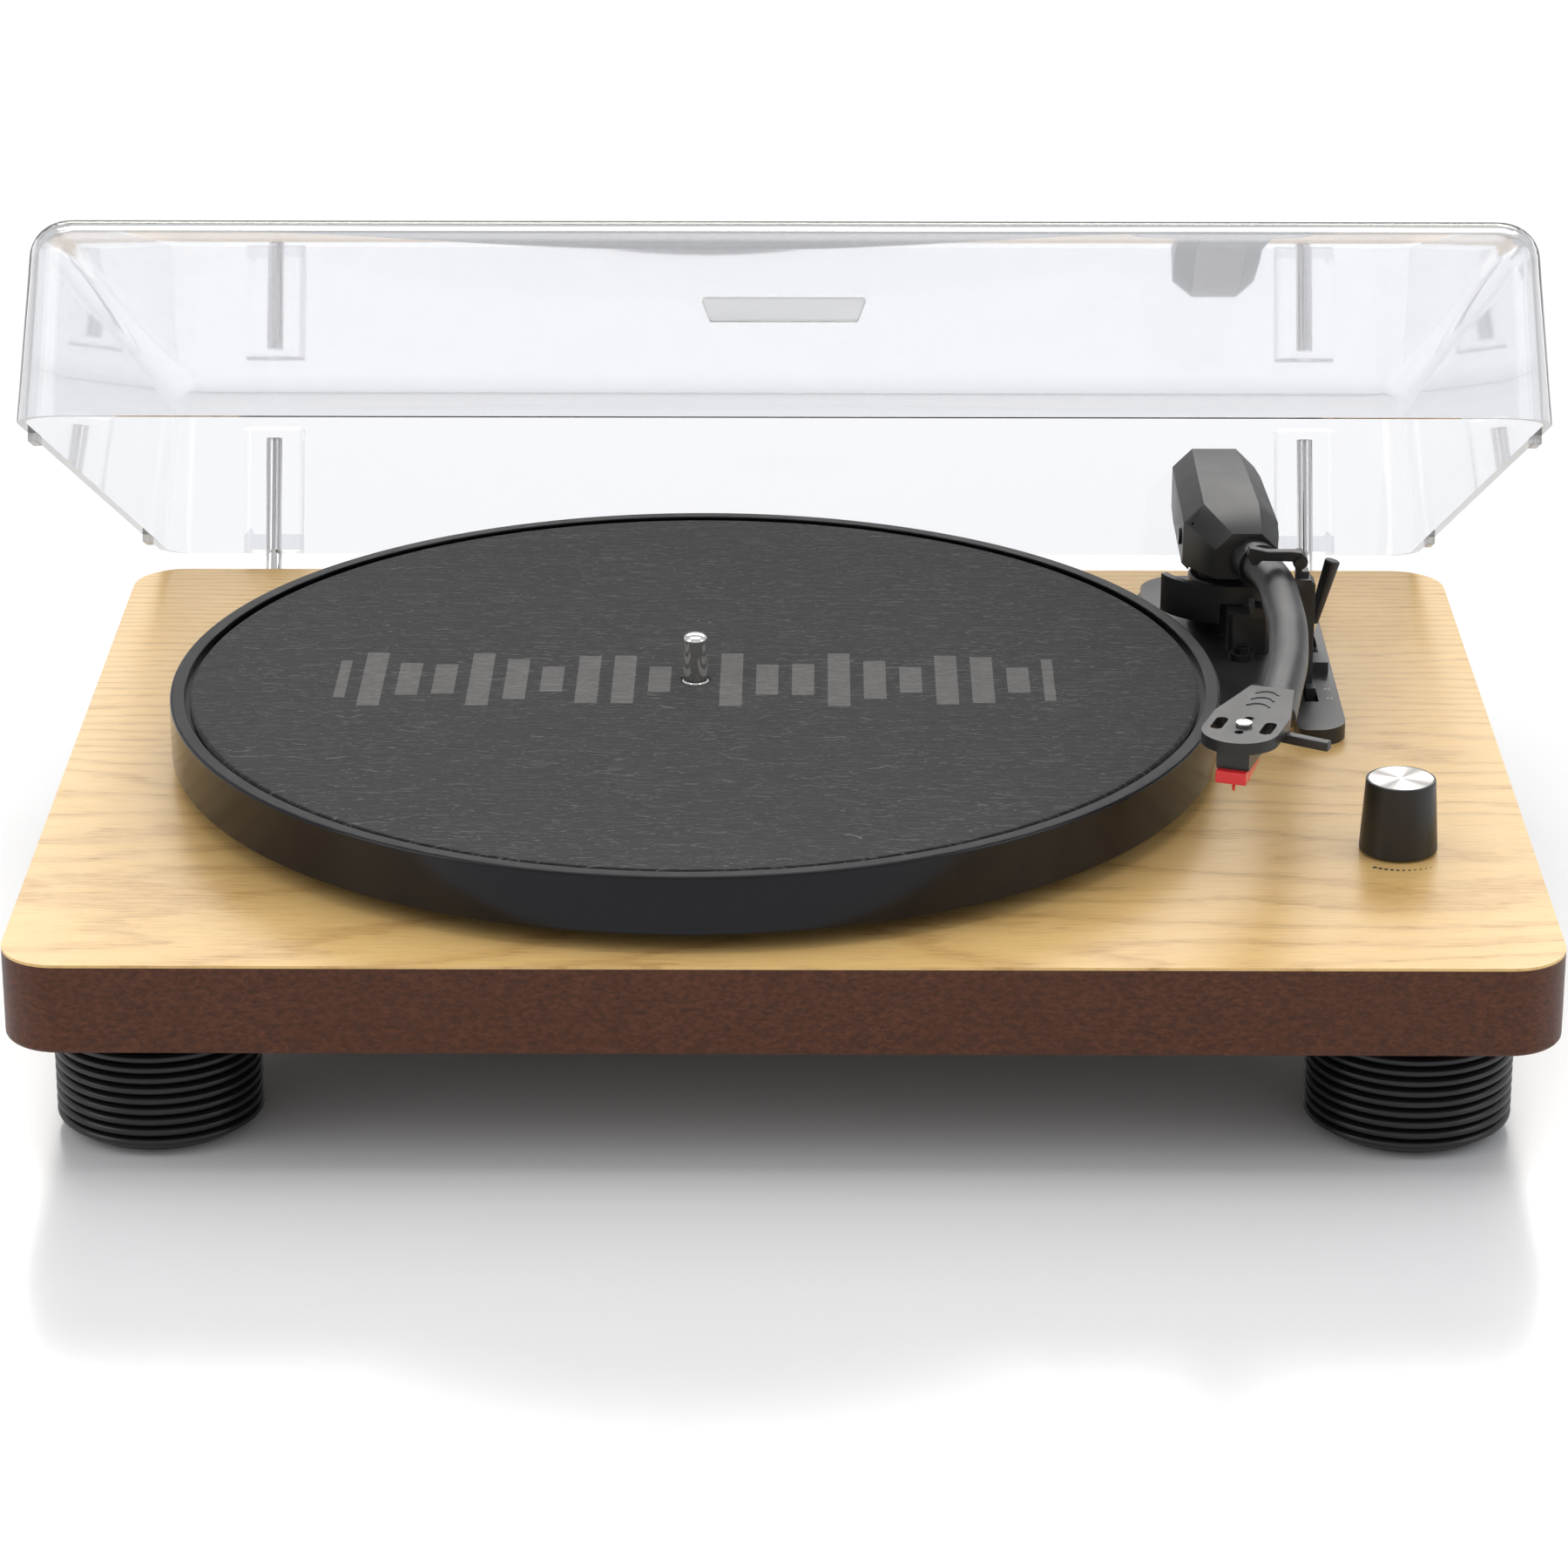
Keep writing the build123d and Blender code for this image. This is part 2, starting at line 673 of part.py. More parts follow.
# ---------------------------------------------------------------- tonearm
arm_route = [(163.9, 77.0), (173.3, 48.0), (173.5, 4.0), (171.0, -25.0), (165.9, -55.9)]
arm_radii = [85, 250, 250]
shell_turn = 19.0
shell_root = (163.0, -64.4)
shell_l = 46.0
shell_half = 10.7
shell_t = 3.4
shell_top = arm_z + 7.0
shell_bottom = shell_top - shell_t
shell_plane = Plane(
    origin=(shell_root[0], shell_root[1], 0),
    x_dir=(-sin(radians(shell_turn)), -cos(radians(shell_turn)), 0),
    z_dir=(0, 0, 1),
)

with BuildLine() as arm_path:
    FilletPolyline(*[(x, y, arm_z) for x, y in arm_route], radius=arm_radii)
arm_wire = arm_path.wire()
arm_start = Plane(origin=arm_wire @ 0, z_dir=arm_wire % 0)
arm_end = Plane(origin=arm_wire @ 1, z_dir=arm_wire % 1)


def housing_section(y, left, right, low, high, cut):
    """An eight-sided face across the housing at y: its sides, its bottom and top, and its bevel."""
    with BuildSketch(Plane.XZ.offset(-y)) as section:
        with BuildLine():
            Polyline(
                (pivot_x + left + 2, low),
                (pivot_x + right - 2, low),
                (pivot_x + right, low + 2),
                (pivot_x + right, high - cut),
                (pivot_x + right - cut, high),
                (pivot_x + left + cut, high),
                (pivot_x + left, high - cut),
                (pivot_x + left, low + 2),
                close=True,
            )
        make_face()
    return section.sketch


housing_back = pivot_y + 48.0
housing_low = turret_top + 2.0
housing_high = arm_z + 13.4
rear_low = housing_low
with BuildPart() as arm_housing:
    add(housing_section(housing_back, -14.2, 11.6, rear_low + 1, housing_high - 0.6, 6.0))
    add(housing_section(pivot_y + 36, -14.4, 12.6, rear_low, housing_high, 6.0))
    loft(ruled=True)
    add(housing_section(pivot_y + 36, -14.4, 12.6, rear_low, housing_high, 6.0))
    add(housing_section(pivot_y - 9, -14.4, 14.4, rear_low, housing_high, 6.0))
    loft(ruled=True)
    add(housing_section(pivot_y - 9, -14.4, 14.4, rear_low, housing_high, 6.0))
    add(housing_section(pivot_y - 23, -5.5, 13.4, arm_z - 7.5, arm_z + 8.4, 5.0))
    loft(ruled=True)
    with BuildSketch(arm_start.offset(11)):
        Circle(tube_r + 1.0)
    extrude(amount=7)
    with Locations((pivot_x, pivot_y - 16, housing_low + 1.65)):
        Box(80, 24.4, 3.5, mode=Mode.SUBTRACT)
    with Locations((pivot_x - 0.6, pivot_y + 0.8, arm_z - 4)):
        Box(23.0, 24.8, 24, mode=Mode.SUBTRACT)
    with Locations((pivot_x - 1.2, pivot_y + 31.5, arm_z - 2)):
        Box(19.5, 25.0, 20, mode=Mode.SUBTRACT)
    with Locations((pivot_x, pivot_y, arm_z)):
        Cylinder(pivot_screw_r, 40, rotation=(0, 90, 0), mode=Mode.SUBTRACT)
    with BuildSketch(arm_start):
        Circle(tube_r)
    sweep(path=arm_wire, mode=Mode.SUBTRACT)
written(arm_housing.part, "arm_housing")

with BuildPart() as counterweight:
    with Locations((pivot_x - 1.2, pivot_y + 31.5, arm_z)):
        Box(19.5, 25.0, 16)
written(counterweight.part, "counterweight")

with BuildPart() as arm_tube:
    with BuildSketch(arm_start):
        Circle(tube_r)
    sweep(path=arm_wire)
    with BuildSketch(arm_start):
        Circle(tube_r - tube_wall)
    sweep(path=arm_wire, mode=Mode.SUBTRACT)
written(arm_tube.part, "arm_tube")

slot_t = 6.9
slot_s = 32.0
screw_s = 31.8
with BuildPart() as headshell:
    with BuildSketch(shell_plane.offset(shell_bottom)):
        with BuildLine():
            Polyline(
                (shell_l - 10, -shell_half),
                (22, -shell_half),
                (9, -8),
                (0, -6.2),
                (0, 6.2),
                (9, 8),
                (22, shell_half),
                (shell_l - 10, shell_half),
            )
            ThreePointArc((shell_l - 10, -shell_half), (shell_l, 0), (shell_l - 10, shell_half))
        make_face()
        with Locations((slot_s, -slot_t), (slot_s, slot_t)):
            SlotOverall(9.5, 3.4, mode=Mode.SUBTRACT)
        with Locations((26.0, 0), (37.3, 0)):
            Circle(1.3, mode=Mode.SUBTRACT)
        with Locations((screw_s, 0)):
            Circle(1.2, mode=Mode.SUBTRACT)
    extrude(amount=shell_t)
    with BuildSketch(arm_end):
        Circle(tube_r)
    extrude(amount=15)
    with BuildSketch(arm_end):
        Circle(tube_r - tube_wall)
    extrude(amount=-7)
    with BuildSketch(shell_plane.offset(shell_top)):
        Rectangle(200, 60)
    extrude(amount=6, mode=Mode.SUBTRACT)
    with BuildSketch(Plane(origin=shell_plane.origin, x_dir=shell_plane.x_dir, z_dir=shell_plane.y_dir)):
        with BuildLine():
            Polyline(
                (-4.0, -arm_z + 8.5),
                (9.0, -shell_bottom),
                (20.0, -shell_bottom),
                (20.0, -arm_z + 8.5),
                close=True,
            )
        make_face()
    extrude(amount=20, both=True, mode=Mode.SUBTRACT)
written(headshell.part, "headshell")

with BuildPart() as headshell_screw:
    with BuildSketch(shell_plane.offset(shell_top)):
        with Locations((screw_s, 0)):
            Circle(2.3)
    extrude(amount=1.2)
    with BuildSketch(shell_plane.offset(shell_top)):
        with Locations((screw_s, 0)):
            Circle(1.2)
    extrude(amount=-shell_t - 3)
written(headshell_screw.part, "headshell_screw")

finger_t = 2.6
with BuildPart() as finger_lift:
    with BuildSketch(shell_plane.offset(shell_bottom - finger_t)):
        with BuildLine():
            Polyline((22.2, 5.5), (25.4, 5.5), (29.0, 23.0), (26.0, 23.4), close=True)
        make_face()
    extrude(amount=finger_t)
written(finger_lift.part, "finger_lift")

body_bottom = shell_bottom - 5.5
with BuildPart() as cartridge_body:
    with BuildSketch(shell_plane.offset(body_bottom)):
        with Locations((36.2, 0)):
            Rectangle(13.5, 9.2)
    extrude(amount=shell_bottom - body_bottom)
    with BuildSketch(shell_plane.offset(shell_bottom - 1.8)):
        with Locations((33.4, 0)):
            Rectangle(8.0, 9.2)
    extrude(amount=1.8)
    with BuildSketch(shell_plane.offset(shell_bottom)):
        with Locations((screw_s, 0)):
            Circle(1.2)
    extrude(amount=-3, mode=Mode.SUBTRACT)
written(cartridge_body.part, "cartridge_body")

holder_bottom = body_bottom - 3.6
with BuildPart() as stylus_holder:
    with BuildSketch(Plane(origin=shell_plane.origin, x_dir=shell_plane.x_dir, z_dir=shell_plane.y_dir)):
        with BuildLine():
            Polyline(
                (30.0, -body_bottom),
                (45.0, -body_bottom),
                (45.0, -holder_bottom),
                (40.0, -holder_bottom),
                (30.0, -body_bottom + 1.4),
                close=True,
            )
        make_face()
    extrude(amount=4.3, both=True)
written(stylus_holder.part, "stylus_holder")

tip_s = 41.0
tip_z = holder_bottom - 3.2
with BuildPart() as cantilever:
    with BuildSketch(Plane(origin=shell_plane.origin, x_dir=shell_plane.x_dir, z_dir=shell_plane.y_dir)):
        with BuildLine():
            Polyline(
                (37.0, -holder_bottom),
                (38.6, -holder_bottom),
                (tip_s + 0.6, -(tip_z + 1.5)),
                (tip_s + 0.2, -tip_z),
                (tip_s - 0.1, -tip_z),
                (tip_s - 0.6, -(tip_z + 1.0)),
                close=True,
            )
        make_face()
    extrude(amount=0.35, both=True)
written(cantilever.part, "cantilever")

# ---------------------------------------------------------------- cueing lift
lift_r = 22.0
arc_t = 2.2
lift_low = deck_top + 7.5
lift_step = deck_top + 13.8
lift_top = deck_top + 19.3
plunger_r = 1.6
plunger_angle = 282.0
plunger_x = pivot_x + lift_r * cos(radians(plunger_angle))
plunger_y = pivot_y + lift_r * sin(radians(plunger_angle))
plunger_end = deck_top + 2.0


def arc_band(first, last, low, high):
    """A curved wall about the pivot, from one angle to another."""
    inner = lift_r - arc_t / 2
    outer = lift_r + arc_t / 2
    with BuildPart() as band:
        with BuildSketch(Plane.XY.offset(low)):
            with Locations((pivot_x, pivot_y)):
                with BuildLine():
                    CenterArc((0, 0), inner, first, last - first)
                    CenterArc((0, 0), outer, first, last - first)
                    Line(
                        (inner * cos(radians(first)), inner * sin(radians(first))),
                        (outer * cos(radians(first)), outer * sin(radians(first))),
                    )
                    Line(
                        (inner * cos(radians(last)), inner * sin(radians(last))),
                        (outer * cos(radians(last)), outer * sin(radians(last))),
                    )
                make_face()
        extrude(amount=high - low)
    return Pos(pivot_x, pivot_y, 0) * band.part


deep_band = arc_band(205, 261, lift_low, lift_top)
high_band = arc_band(261, 300, lift_step, lift_top)
with BuildPart() as lift_arc:
    add(deep_band)
    add(high_band)
    with Locations((plunger_x, plunger_y, (plunger_end + lift_step + 1) / 2)):
        Cylinder(plunger_r, lift_step + 1 - plunger_end)
written(lift_arc.part, "lift_arc")

with BuildPart() as lift_block:
    with Locations((block_x, block_y, deck_top + block_h / 2)):
        Box(block_w, block_d, block_h)
    chamfer(lift_block.edges().filter_by(Axis.Z), 1.2)
    with Locations((plunger_x, plunger_y, deck_top + block_h / 2)):
        Cylinder(plunger_r + run_gap, block_h + 1, mode=Mode.SUBTRACT)
    with Locations((block_screw_x, block_screw_y, deck_top + 1)):
        Cylinder(3.8, 2)
        Cylinder(1.5, 3, mode=Mode.SUBTRACT)
written(lift_block.part, "lift_block")

with BuildPart() as block_screw:
    with Locations((block_screw_x, block_screw_y, deck_top + 2.9)):
        Cylinder(2.5, 1.8)
    with Locations((block_screw_x, block_screw_y, deck_top - 1.5)):
        Cylinder(1.5, 7)
    with Locations((block_screw_x, block_screw_y, deck_top + 3.8)):
        Box(3.4, 0.6, 1.2, mode=Mode.SUBTRACT)
written(block_screw.part, "block_screw")

lever_top = (lever_x + 7.9, lever_y + 1.0, lever_z + 29.1)
grip_from = 0.32
stem_r = 1.2
grip_r = 2.4
lever_lean = Vector(*lever_top) - Vector(lever_x, lever_y, lever_z)
lever_line = Plane(origin=(lever_x, lever_y, lever_z), z_dir=lever_lean)
with BuildPart() as cue_lever:
    with Locations((lever_x, lever_y, lever_z)):
        Cylinder(lever_hub_r, lever_hub_w, rotation=(0, 90, 0))
    with BuildSketch(lever_line):
        Circle(stem_r)
    extrude(amount=lever_lean.length * grip_from)
    with Locations((lever_x, lever_y, lever_z)):
        Cylinder(axle_r, axle_l, rotation=(0, 90, 0))
written(cue_lever.part, "cue_lever")

with BuildPart() as lever_grip:
    with BuildSketch(lever_line.offset(lever_lean.length * grip_from)):
        Circle(1.6)
    with BuildSketch(lever_line.offset(lever_lean.length)):
        Circle(grip_r)
    loft()
    fillet(lever_grip.faces().sort_by(Axis.Z)[-1].edges(), 0.6)
written(lever_grip.part, "lever_grip")

# ---------------------------------------------------------------- arm rest and its clip
rest_back = 48.9
rest_t = 7.0
clip_front = rest_back - rest_t
clip_t = 3.2
cradle_x = 172.4
ear_left = cradle_x + tube_r + 0.9
ear_right = ear_left + 5.7
ear_top = arm_z + 1.8
cradle_left = cradle_x - 7.0
cradle_floor = arm_z - tube_r - 1.4
lip_top = arm_z - tube_r - 0.5
clip_pin_r = 0.8
clip_pin_x = ear_left + 0.9
clip_pin_z = arm_z + tube_r + 1.6
clip_boss_r = 2.3
clip_under = arm_z + tube_r + 2.0
clip_h = 2.9
clip_left = cradle_left - 0.1
clip_tip = arm_z + tube_r + 0.4
pin_room = 0.05

with BuildPart() as arm_rest:
    with BuildSketch(Plane.XZ.offset(-rest_back)):
        with BuildLine():
            Polyline(
                (ear_left, base_top),
                (ear_right, base_top),
                (ear_right, ear_top - 1.5),
                (ear_right - 1.5, ear_top),
                (ear_left, ear_top),
                (ear_left, cradle_floor + 4),
                (ear_left - 3.5, cradle_floor),
                (cradle_left + 1.6, cradle_floor),
                (cradle_left + 1.2, lip_top),
                (cradle_left, lip_top),
                (cradle_left, cradle_floor - 2.2),
                (cradle_left + 1.5, cradle_floor - 3.4),
                (ear_left - 4, cradle_floor - 3.4),
                (ear_left, cradle_floor - 8),
                close=True,
            )
        make_face()
    extrude(amount=rest_t)
    with BuildSketch(Plane.XZ.offset(-rest_back)):
        with Locations((clip_pin_x, (ear_top + clip_pin_z) / 2 - 0.5)):
            Rectangle(1.8, clip_pin_z - ear_top + 1.0)
        with Locations((clip_pin_x + 1.6, ear_top + 0.5)):
            Rectangle(3.0, 2.0)
        with Locations((clip_pin_x, clip_pin_z)):
            Circle(clip_boss_r)
    extrude(amount=rest_t - clip_t - fit_gap)
    with Locations((clip_pin_x, (clip_front + rest_back) / 2 - 0.5, clip_pin_z)):
        Cylinder(clip_pin_r, rest_t + 1.0, rotation=(90, 0, 0))
    with Locations((clip_pin_x, clip_front - 0.8, clip_pin_z)):
        Cylinder(1.5, 0.8, rotation=(90, 0, 0))
written(arm_rest.part, "arm_rest")

with BuildPart() as rest_clip:
    with BuildSketch(Plane.XZ.offset(-clip_front - clip_t)):
        with BuildLine():
            Polyline(
                (clip_pin_x, clip_under - 0.3),
                (clip_pin_x + 1.4, clip_under + 0.2),
                (clip_pin_x + 0.6, clip_under + clip_h - 0.4),
                (clip_pin_x - 2.5, clip_under + clip_h),
                (clip_left + 5.0, clip_under + clip_h),
                (clip_left - 0.6, clip_under + clip_h + 1.2),
                (clip_left - 1.2, clip_under + 1.6),
                (clip_left + 0.2, clip_tip + 0.2),
                (clip_left + 1.6, clip_tip),
                (clip_left + 3.2, clip_under),
                close=True,
            )
        make_face()
        with Locations((clip_pin_x, clip_pin_z)):
            Circle(clip_boss_r)
            Circle(clip_pin_r + pin_room, mode=Mode.SUBTRACT)
    extrude(amount=clip_t)
written(rest_clip.part, "rest_clip")

with BuildPart() as speed_slider:
    with Locations((slider_x, slider_y, (base_top + 2.5 + top_z - 1) / 2)):
        Box(slot_w - 1, 4, base_top + 2.5 - top_z + 1)
    with Locations((slider_x, slider_y, top_z - fit_gap - 0.75)):
        Box(7, 12, 1.5)
written(speed_slider.part, "speed_slider")

# ---------------------------------------------------------------- rear sockets and switch
panel_t = 1.5
panel_h = 16.0
panel_z = rear_slot_z + rear_slot_h / 2
panel_y = plinth_back + panel_t
rca_spots = [rear_panel_x - 55.0, rear_panel_x - 38.0]
rca_r = 4.15
rca_l = 9.0
inlet_x = rear_panel_x + 10.0
inlet_r = 5.0
switch_x = rear_panel_x + 48.0
switch_w = 13.0
switch_h = 8.6
panel_screw_x = rear_panel_w / 2 - 3.0
rocker_tilt = 9.0
rocker_w = 10.6
rocker_h = 6.0

with BuildPart() as rear_panel:
    with BuildSketch(Plane.XZ.offset(-plinth_back)):
        with Locations((rear_panel_x, panel_z)):
            RectangleRounded(rear_panel_w, panel_h, 2)
        with Locations(*[(x, panel_z) for x in rca_spots]):
            Circle(rca_r, mode=Mode.SUBTRACT)
        with Locations((inlet_x, panel_z)):
            Circle(inlet_r, mode=Mode.SUBTRACT)
        with Locations((switch_x, panel_z)):
            Rectangle(switch_w, switch_h, mode=Mode.SUBTRACT)
        with Locations((rear_panel_x - panel_screw_x, panel_z), (rear_panel_x + panel_screw_x, panel_z)):
            Circle(small_screw_r, mode=Mode.SUBTRACT)
    extrude(amount=-panel_t)
written(rear_panel.part, "rear_panel")

with BuildPart() as rca_jacks:
    for x in rca_spots:
        with BuildSketch(Plane.XZ.offset(-panel_y)):
            with Locations((x, panel_z)):
                RegularPolygon(6.2, 6)
        extrude(amount=-1.2)
        with BuildSketch(Plane.XZ.offset(-panel_y - rca_l)):
            with Locations((x, panel_z)):
                Circle(rca_r)
        extrude(amount=rca_l + panel_t + 6)
        with Locations((x, panel_y + rca_l, panel_z)):
            Cylinder(1.6, 14, rotation=(90, 0, 0), mode=Mode.SUBTRACT)
written(rca_jacks.part, "rca_jacks")

with BuildPart() as dc_inlet:
    with BuildSketch(Plane.XZ.offset(-panel_y)):
        with Locations((inlet_x, panel_z)):
            Circle(inlet_r + 1.2)
    extrude(amount=-1.0)
    with BuildSketch(Plane.XZ.offset(-panel_y)):
        with Locations((inlet_x, panel_z)):
            Circle(inlet_r)
    extrude(amount=panel_t + 10)
    with Locations((inlet_x, panel_y + 1.0, panel_z)):
        Cylinder(2.8, 18, rotation=(90, 0, 0), mode=Mode.SUBTRACT)
        Cylinder(1.0, 18, rotation=(90, 0, 0))
    with BuildSketch(Plane.XZ.offset(-panel_y - 1.0)):
        with Locations((inlet_x, panel_z)):
            Circle(inlet_r + 2)
    extrude(amount=-12, mode=Mode.SUBTRACT)
written(dc_inlet.part, "dc_inlet")

rocker_y = panel_y + 0.2
rocker_d = 5.0
with BuildPart() as power_switch:
    with Locations((switch_x, panel_y + 0.6, panel_z)):
        Box(switch_w + 2.4, 1.2, switch_h + 2.0)
    with Locations((switch_x, panel_y - 4.5, panel_z)):
        Box(switch_w, 9, switch_h)
    with Locations((switch_x, panel_y - 1.9, panel_z)):
        Box(rocker_w + 1.0, 7.2, rocker_h + 0.6, mode=Mode.SUBTRACT)
    with Locations((switch_x, rocker_y, panel_z)):
        Cylinder(0.8, switch_h + 1.0, mode=Mode.SUBTRACT)
written(power_switch.part, "power_switch")

with BuildPart() as rocker:
    with BuildSketch(Plane.XY.offset(-rocker_h / 2)):
        with BuildLine():
            Polyline(
                (-rocker_w / 2, 1.6),
                (0, 0.6),
                (rocker_w / 2, 1.6),
                (rocker_w / 2 - 0.5, -1.2),
                (1.5, -rocker_d + 1.2),
                (-1.5, -rocker_d + 1.2),
                (-rocker_w / 2 + 0.5, -1.2),
                close=True,
            )
        make_face()
    extrude(amount=rocker_h)
    Cylinder(0.75, rocker_h + 1.6)
written(Pos(switch_x, rocker_y, panel_z) * Rot(Z=rocker_tilt) * rocker.part, "power_rocker")

# ---------------------------------------------------------------- circuit board
board_x = rear_panel_x
board_y = 98.0
board_w = 110.0
board_d = 60.0
board_t = 1.6
board_z = deck_z - 5.0
board_screw_inset = 5.0
board_screw_x = board_w / 2 - board_screw_inset
board_screw_y = board_d / 2 - board_screw_inset
board_screw_spots = []
for sx in (-1, 1):
    for sy in (-1, 1):
        board_screw_spots.append((board_x + sx * board_screw_x, board_y + sy * board_screw_y))

with BuildPart() as main_board:
    with BuildSketch(Plane.XY.offset(board_z)):
        with Locations((board_x, board_y)):
            Rectangle(board_w, board_d)
        with Locations(*board_screw_spots):
            Circle(small_screw_r, mode=Mode.SUBTRACT)
    extrude(amount=-board_t)
written(main_board.part, "main_board")

with BuildPart() as board_posts:
    with BuildSketch(Plane.XY.offset(board_z)):
        with Locations(*board_screw_spots):
            Circle(3.0)
            Circle(small_screw_r, mode=Mode.SUBTRACT)
    extrude(amount=deck_z - board_z)
written(board_posts.part, "board_posts")

can_r = 3.5
can_h = 5.6
with BuildPart() as board_parts:
    with BuildSketch(Plane.XY.offset(board_z - board_t)):
        with GridLocations(11, 12, 4, 2):
            with Locations((board_x - 20, board_y - 8)):
                Circle(can_r)
    extrude(amount=-can_h)
    with BuildSketch(Plane.XY.offset(board_z - board_t)):
        with GridLocations(22, 0, 2, 1):
            with Locations((board_x + 30, board_y - 10)):
                Rectangle(12, 16)
        with GridLocations(14, 0, 5, 1):
            with Locations((board_x - 8, board_y + 19)):
                Rectangle(9, 6)
    extrude(amount=-3.0)
written(board_parts.part, "board_parts")

# ---------------------------------------------------------------- speakers, firing down through the grilles
frame_t = 1.4
cone_t = 0.7
cone_lift = 0.1
cone_depth = 5.0
magnet_r = 14.0
magnet_t = 5.0
speaker_screw_pcr = speaker_r - 2.4
frame_inner = speaker_r - 5.0
voice_r = 6.0
basket_top = cover_plate_z + frame_t + cone_depth + 0.8

with BuildPart() as speaker_frame:
    with BuildSketch(Plane.XZ):
        with BuildLine():
            Polyline(
                (frame_inner, cover_plate_z),
                (speaker_r, cover_plate_z),
                (speaker_r, cover_plate_z + frame_t),
                (frame_inner + 0.2, cover_plate_z + frame_t),
                (voice_r + 5, basket_top),
                (voice_r + 5, basket_top - 1.0),
                (frame_inner, cover_plate_z + frame_t - 0.6),
                close=True,
            )
        make_face()
    revolve(axis=Axis.Z)
    with BuildSketch(Plane.XY.offset(cover_plate_z)):
        with PolarLocations(speaker_screw_pcr, 4, 45):
            Circle(small_screw_r)
    extrude(amount=frame_t, mode=Mode.SUBTRACT)

with BuildPart() as speaker_cone:
    with BuildSketch(Plane.XZ):
        with BuildLine():
            Polyline(
                (frame_inner - 0.3, cover_plate_z + cone_lift),
                (frame_inner - 0.3, cover_plate_z + cone_lift + cone_t),
                (voice_r, cover_plate_z + cone_lift + cone_depth),
                (0, cover_plate_z + cone_lift + cone_depth),
                (0, cover_plate_z + cone_lift + cone_depth - cone_t),
                (voice_r, cover_plate_z + cone_lift + cone_depth - cone_t),
                close=True,
            )
        make_face()
    revolve(axis=Axis.Z)

with BuildPart() as speaker_magnet:
    with Locations((0, 0, basket_top + magnet_t / 2)):
        Cylinder(magnet_r, magnet_t)

speaker_places = [(x, y, 0) for x, y in speaker_spots]
written(copies(speaker_frame.part, speaker_places), "speaker_frames")
written(copies(speaker_cone.part, speaker_places), "speaker_cones")
written(copies(speaker_magnet.part, speaker_places), "speaker_magnets")

# ---------------------------------------------------------------- hinges
hinge_plate_t = 2.5
hinge_plate_w = 25.0
hinge_plate_h = 18.0
ear_gap = 6.8
ear_t = 3.0
ear_r = 4.5
hinge_pin_r = 1.5
hinge_screw_l = 10.0
rod_back = 3.0
rod_top = top_z + cover_seat + 37.0
rod_y = hinge_y - rod_back

with BuildPart() as hinge_base:
    with Locations((0, plinth_back + hinge_plate_t / 2, hinge_z)):
        Box(hinge_plate_w, hinge_plate_t, hinge_plate_h)
    for side in (-1, 1):
        with Locations((side * (ear_gap + ear_t) / 2, (plinth_back + hinge_y) / 2, hinge_z)):
            Box(ear_t, hinge_y - plinth_back, 2 * ear_r)
        with Locations((side * (ear_gap + ear_t) / 2, hinge_y, hinge_z)):
            Cylinder(ear_r, ear_t, rotation=(0, 90, 0))
    with Locations((0, hinge_y, hinge_z + 10)):
        Box(ear_gap, 2 * (hinge_y - plinth_back - 0.4), 20 + 2 * ear_r + 1, mode=Mode.SUBTRACT)
    with Locations((0, hinge_y, hinge_z)):
        Cylinder(hinge_pin_r + run_gap, 40, rotation=(0, 90, 0), mode=Mode.SUBTRACT)
    with Locations(*[(side * hinge_screw_side, plinth_back, hinge_z) for side in (-1, 1)]):
        Cylinder(small_screw_r, 10, rotation=(90, 0, 0), mode=Mode.SUBTRACT)

hinge_places = [(x, 0, 0) for x in hinge_spots]
written(copies(hinge_base.part, hinge_places), "hinge_bases")

with BuildPart() as small_screws:
    for x, y in speaker_spots:
        with Locations((x, y, cover_plate_z)):
            with PolarLocations(speaker_screw_pcr, 4, 45):
                with Locations((0, 0, frame_t + 0.6)):
                    Cylinder(small_head_r, 1.2)
                with Locations((0, 0, frame_t / 2)):
                    Cylinder(small_screw_r, frame_t)
    for x, y in board_screw_spots:
        with Locations((x, y, board_z - board_t - 0.6)):
            Cylinder(small_head_r, 1.2)
        with Locations((x, y, board_z - board_t + 3)):
            Cylinder(small_screw_r, 6)
    for side in (-1, 1):
        with Locations((rear_panel_x + side * panel_screw_x, panel_y + 0.6, panel_z)):
            Cylinder(small_head_r, 1.2, rotation=(90, 0, 0))
        with Locations((rear_panel_x + side * panel_screw_x, panel_y - panel_t / 2, panel_z)):
            Cylinder(small_screw_r, panel_t, rotation=(90, 0, 0))
    for x, z in hinge_screw_spots:
        with Locations((x, plinth_back + hinge_plate_t + 0.6, z)):
            Cylinder(small_head_r, 1.2, rotation=(90, 0, 0))
        with Locations((x, plinth_back + hinge_plate_t - hinge_screw_l / 2, z)):
            Cylinder(small_screw_r, hinge_screw_l, rotation=(90, 0, 0))
written(small_screws.part, "small_screws")


# ---------------------------------------------------------------- dust cover, drawn shut and then opened
def opened(part):
    """The piece turned about the hinge axis to where the cover stands open."""
    return Pos(0, hinge_y, hinge_z) * Rot(X=-cover_open) * Pos(0, -hinge_y, -hinge_z) * part


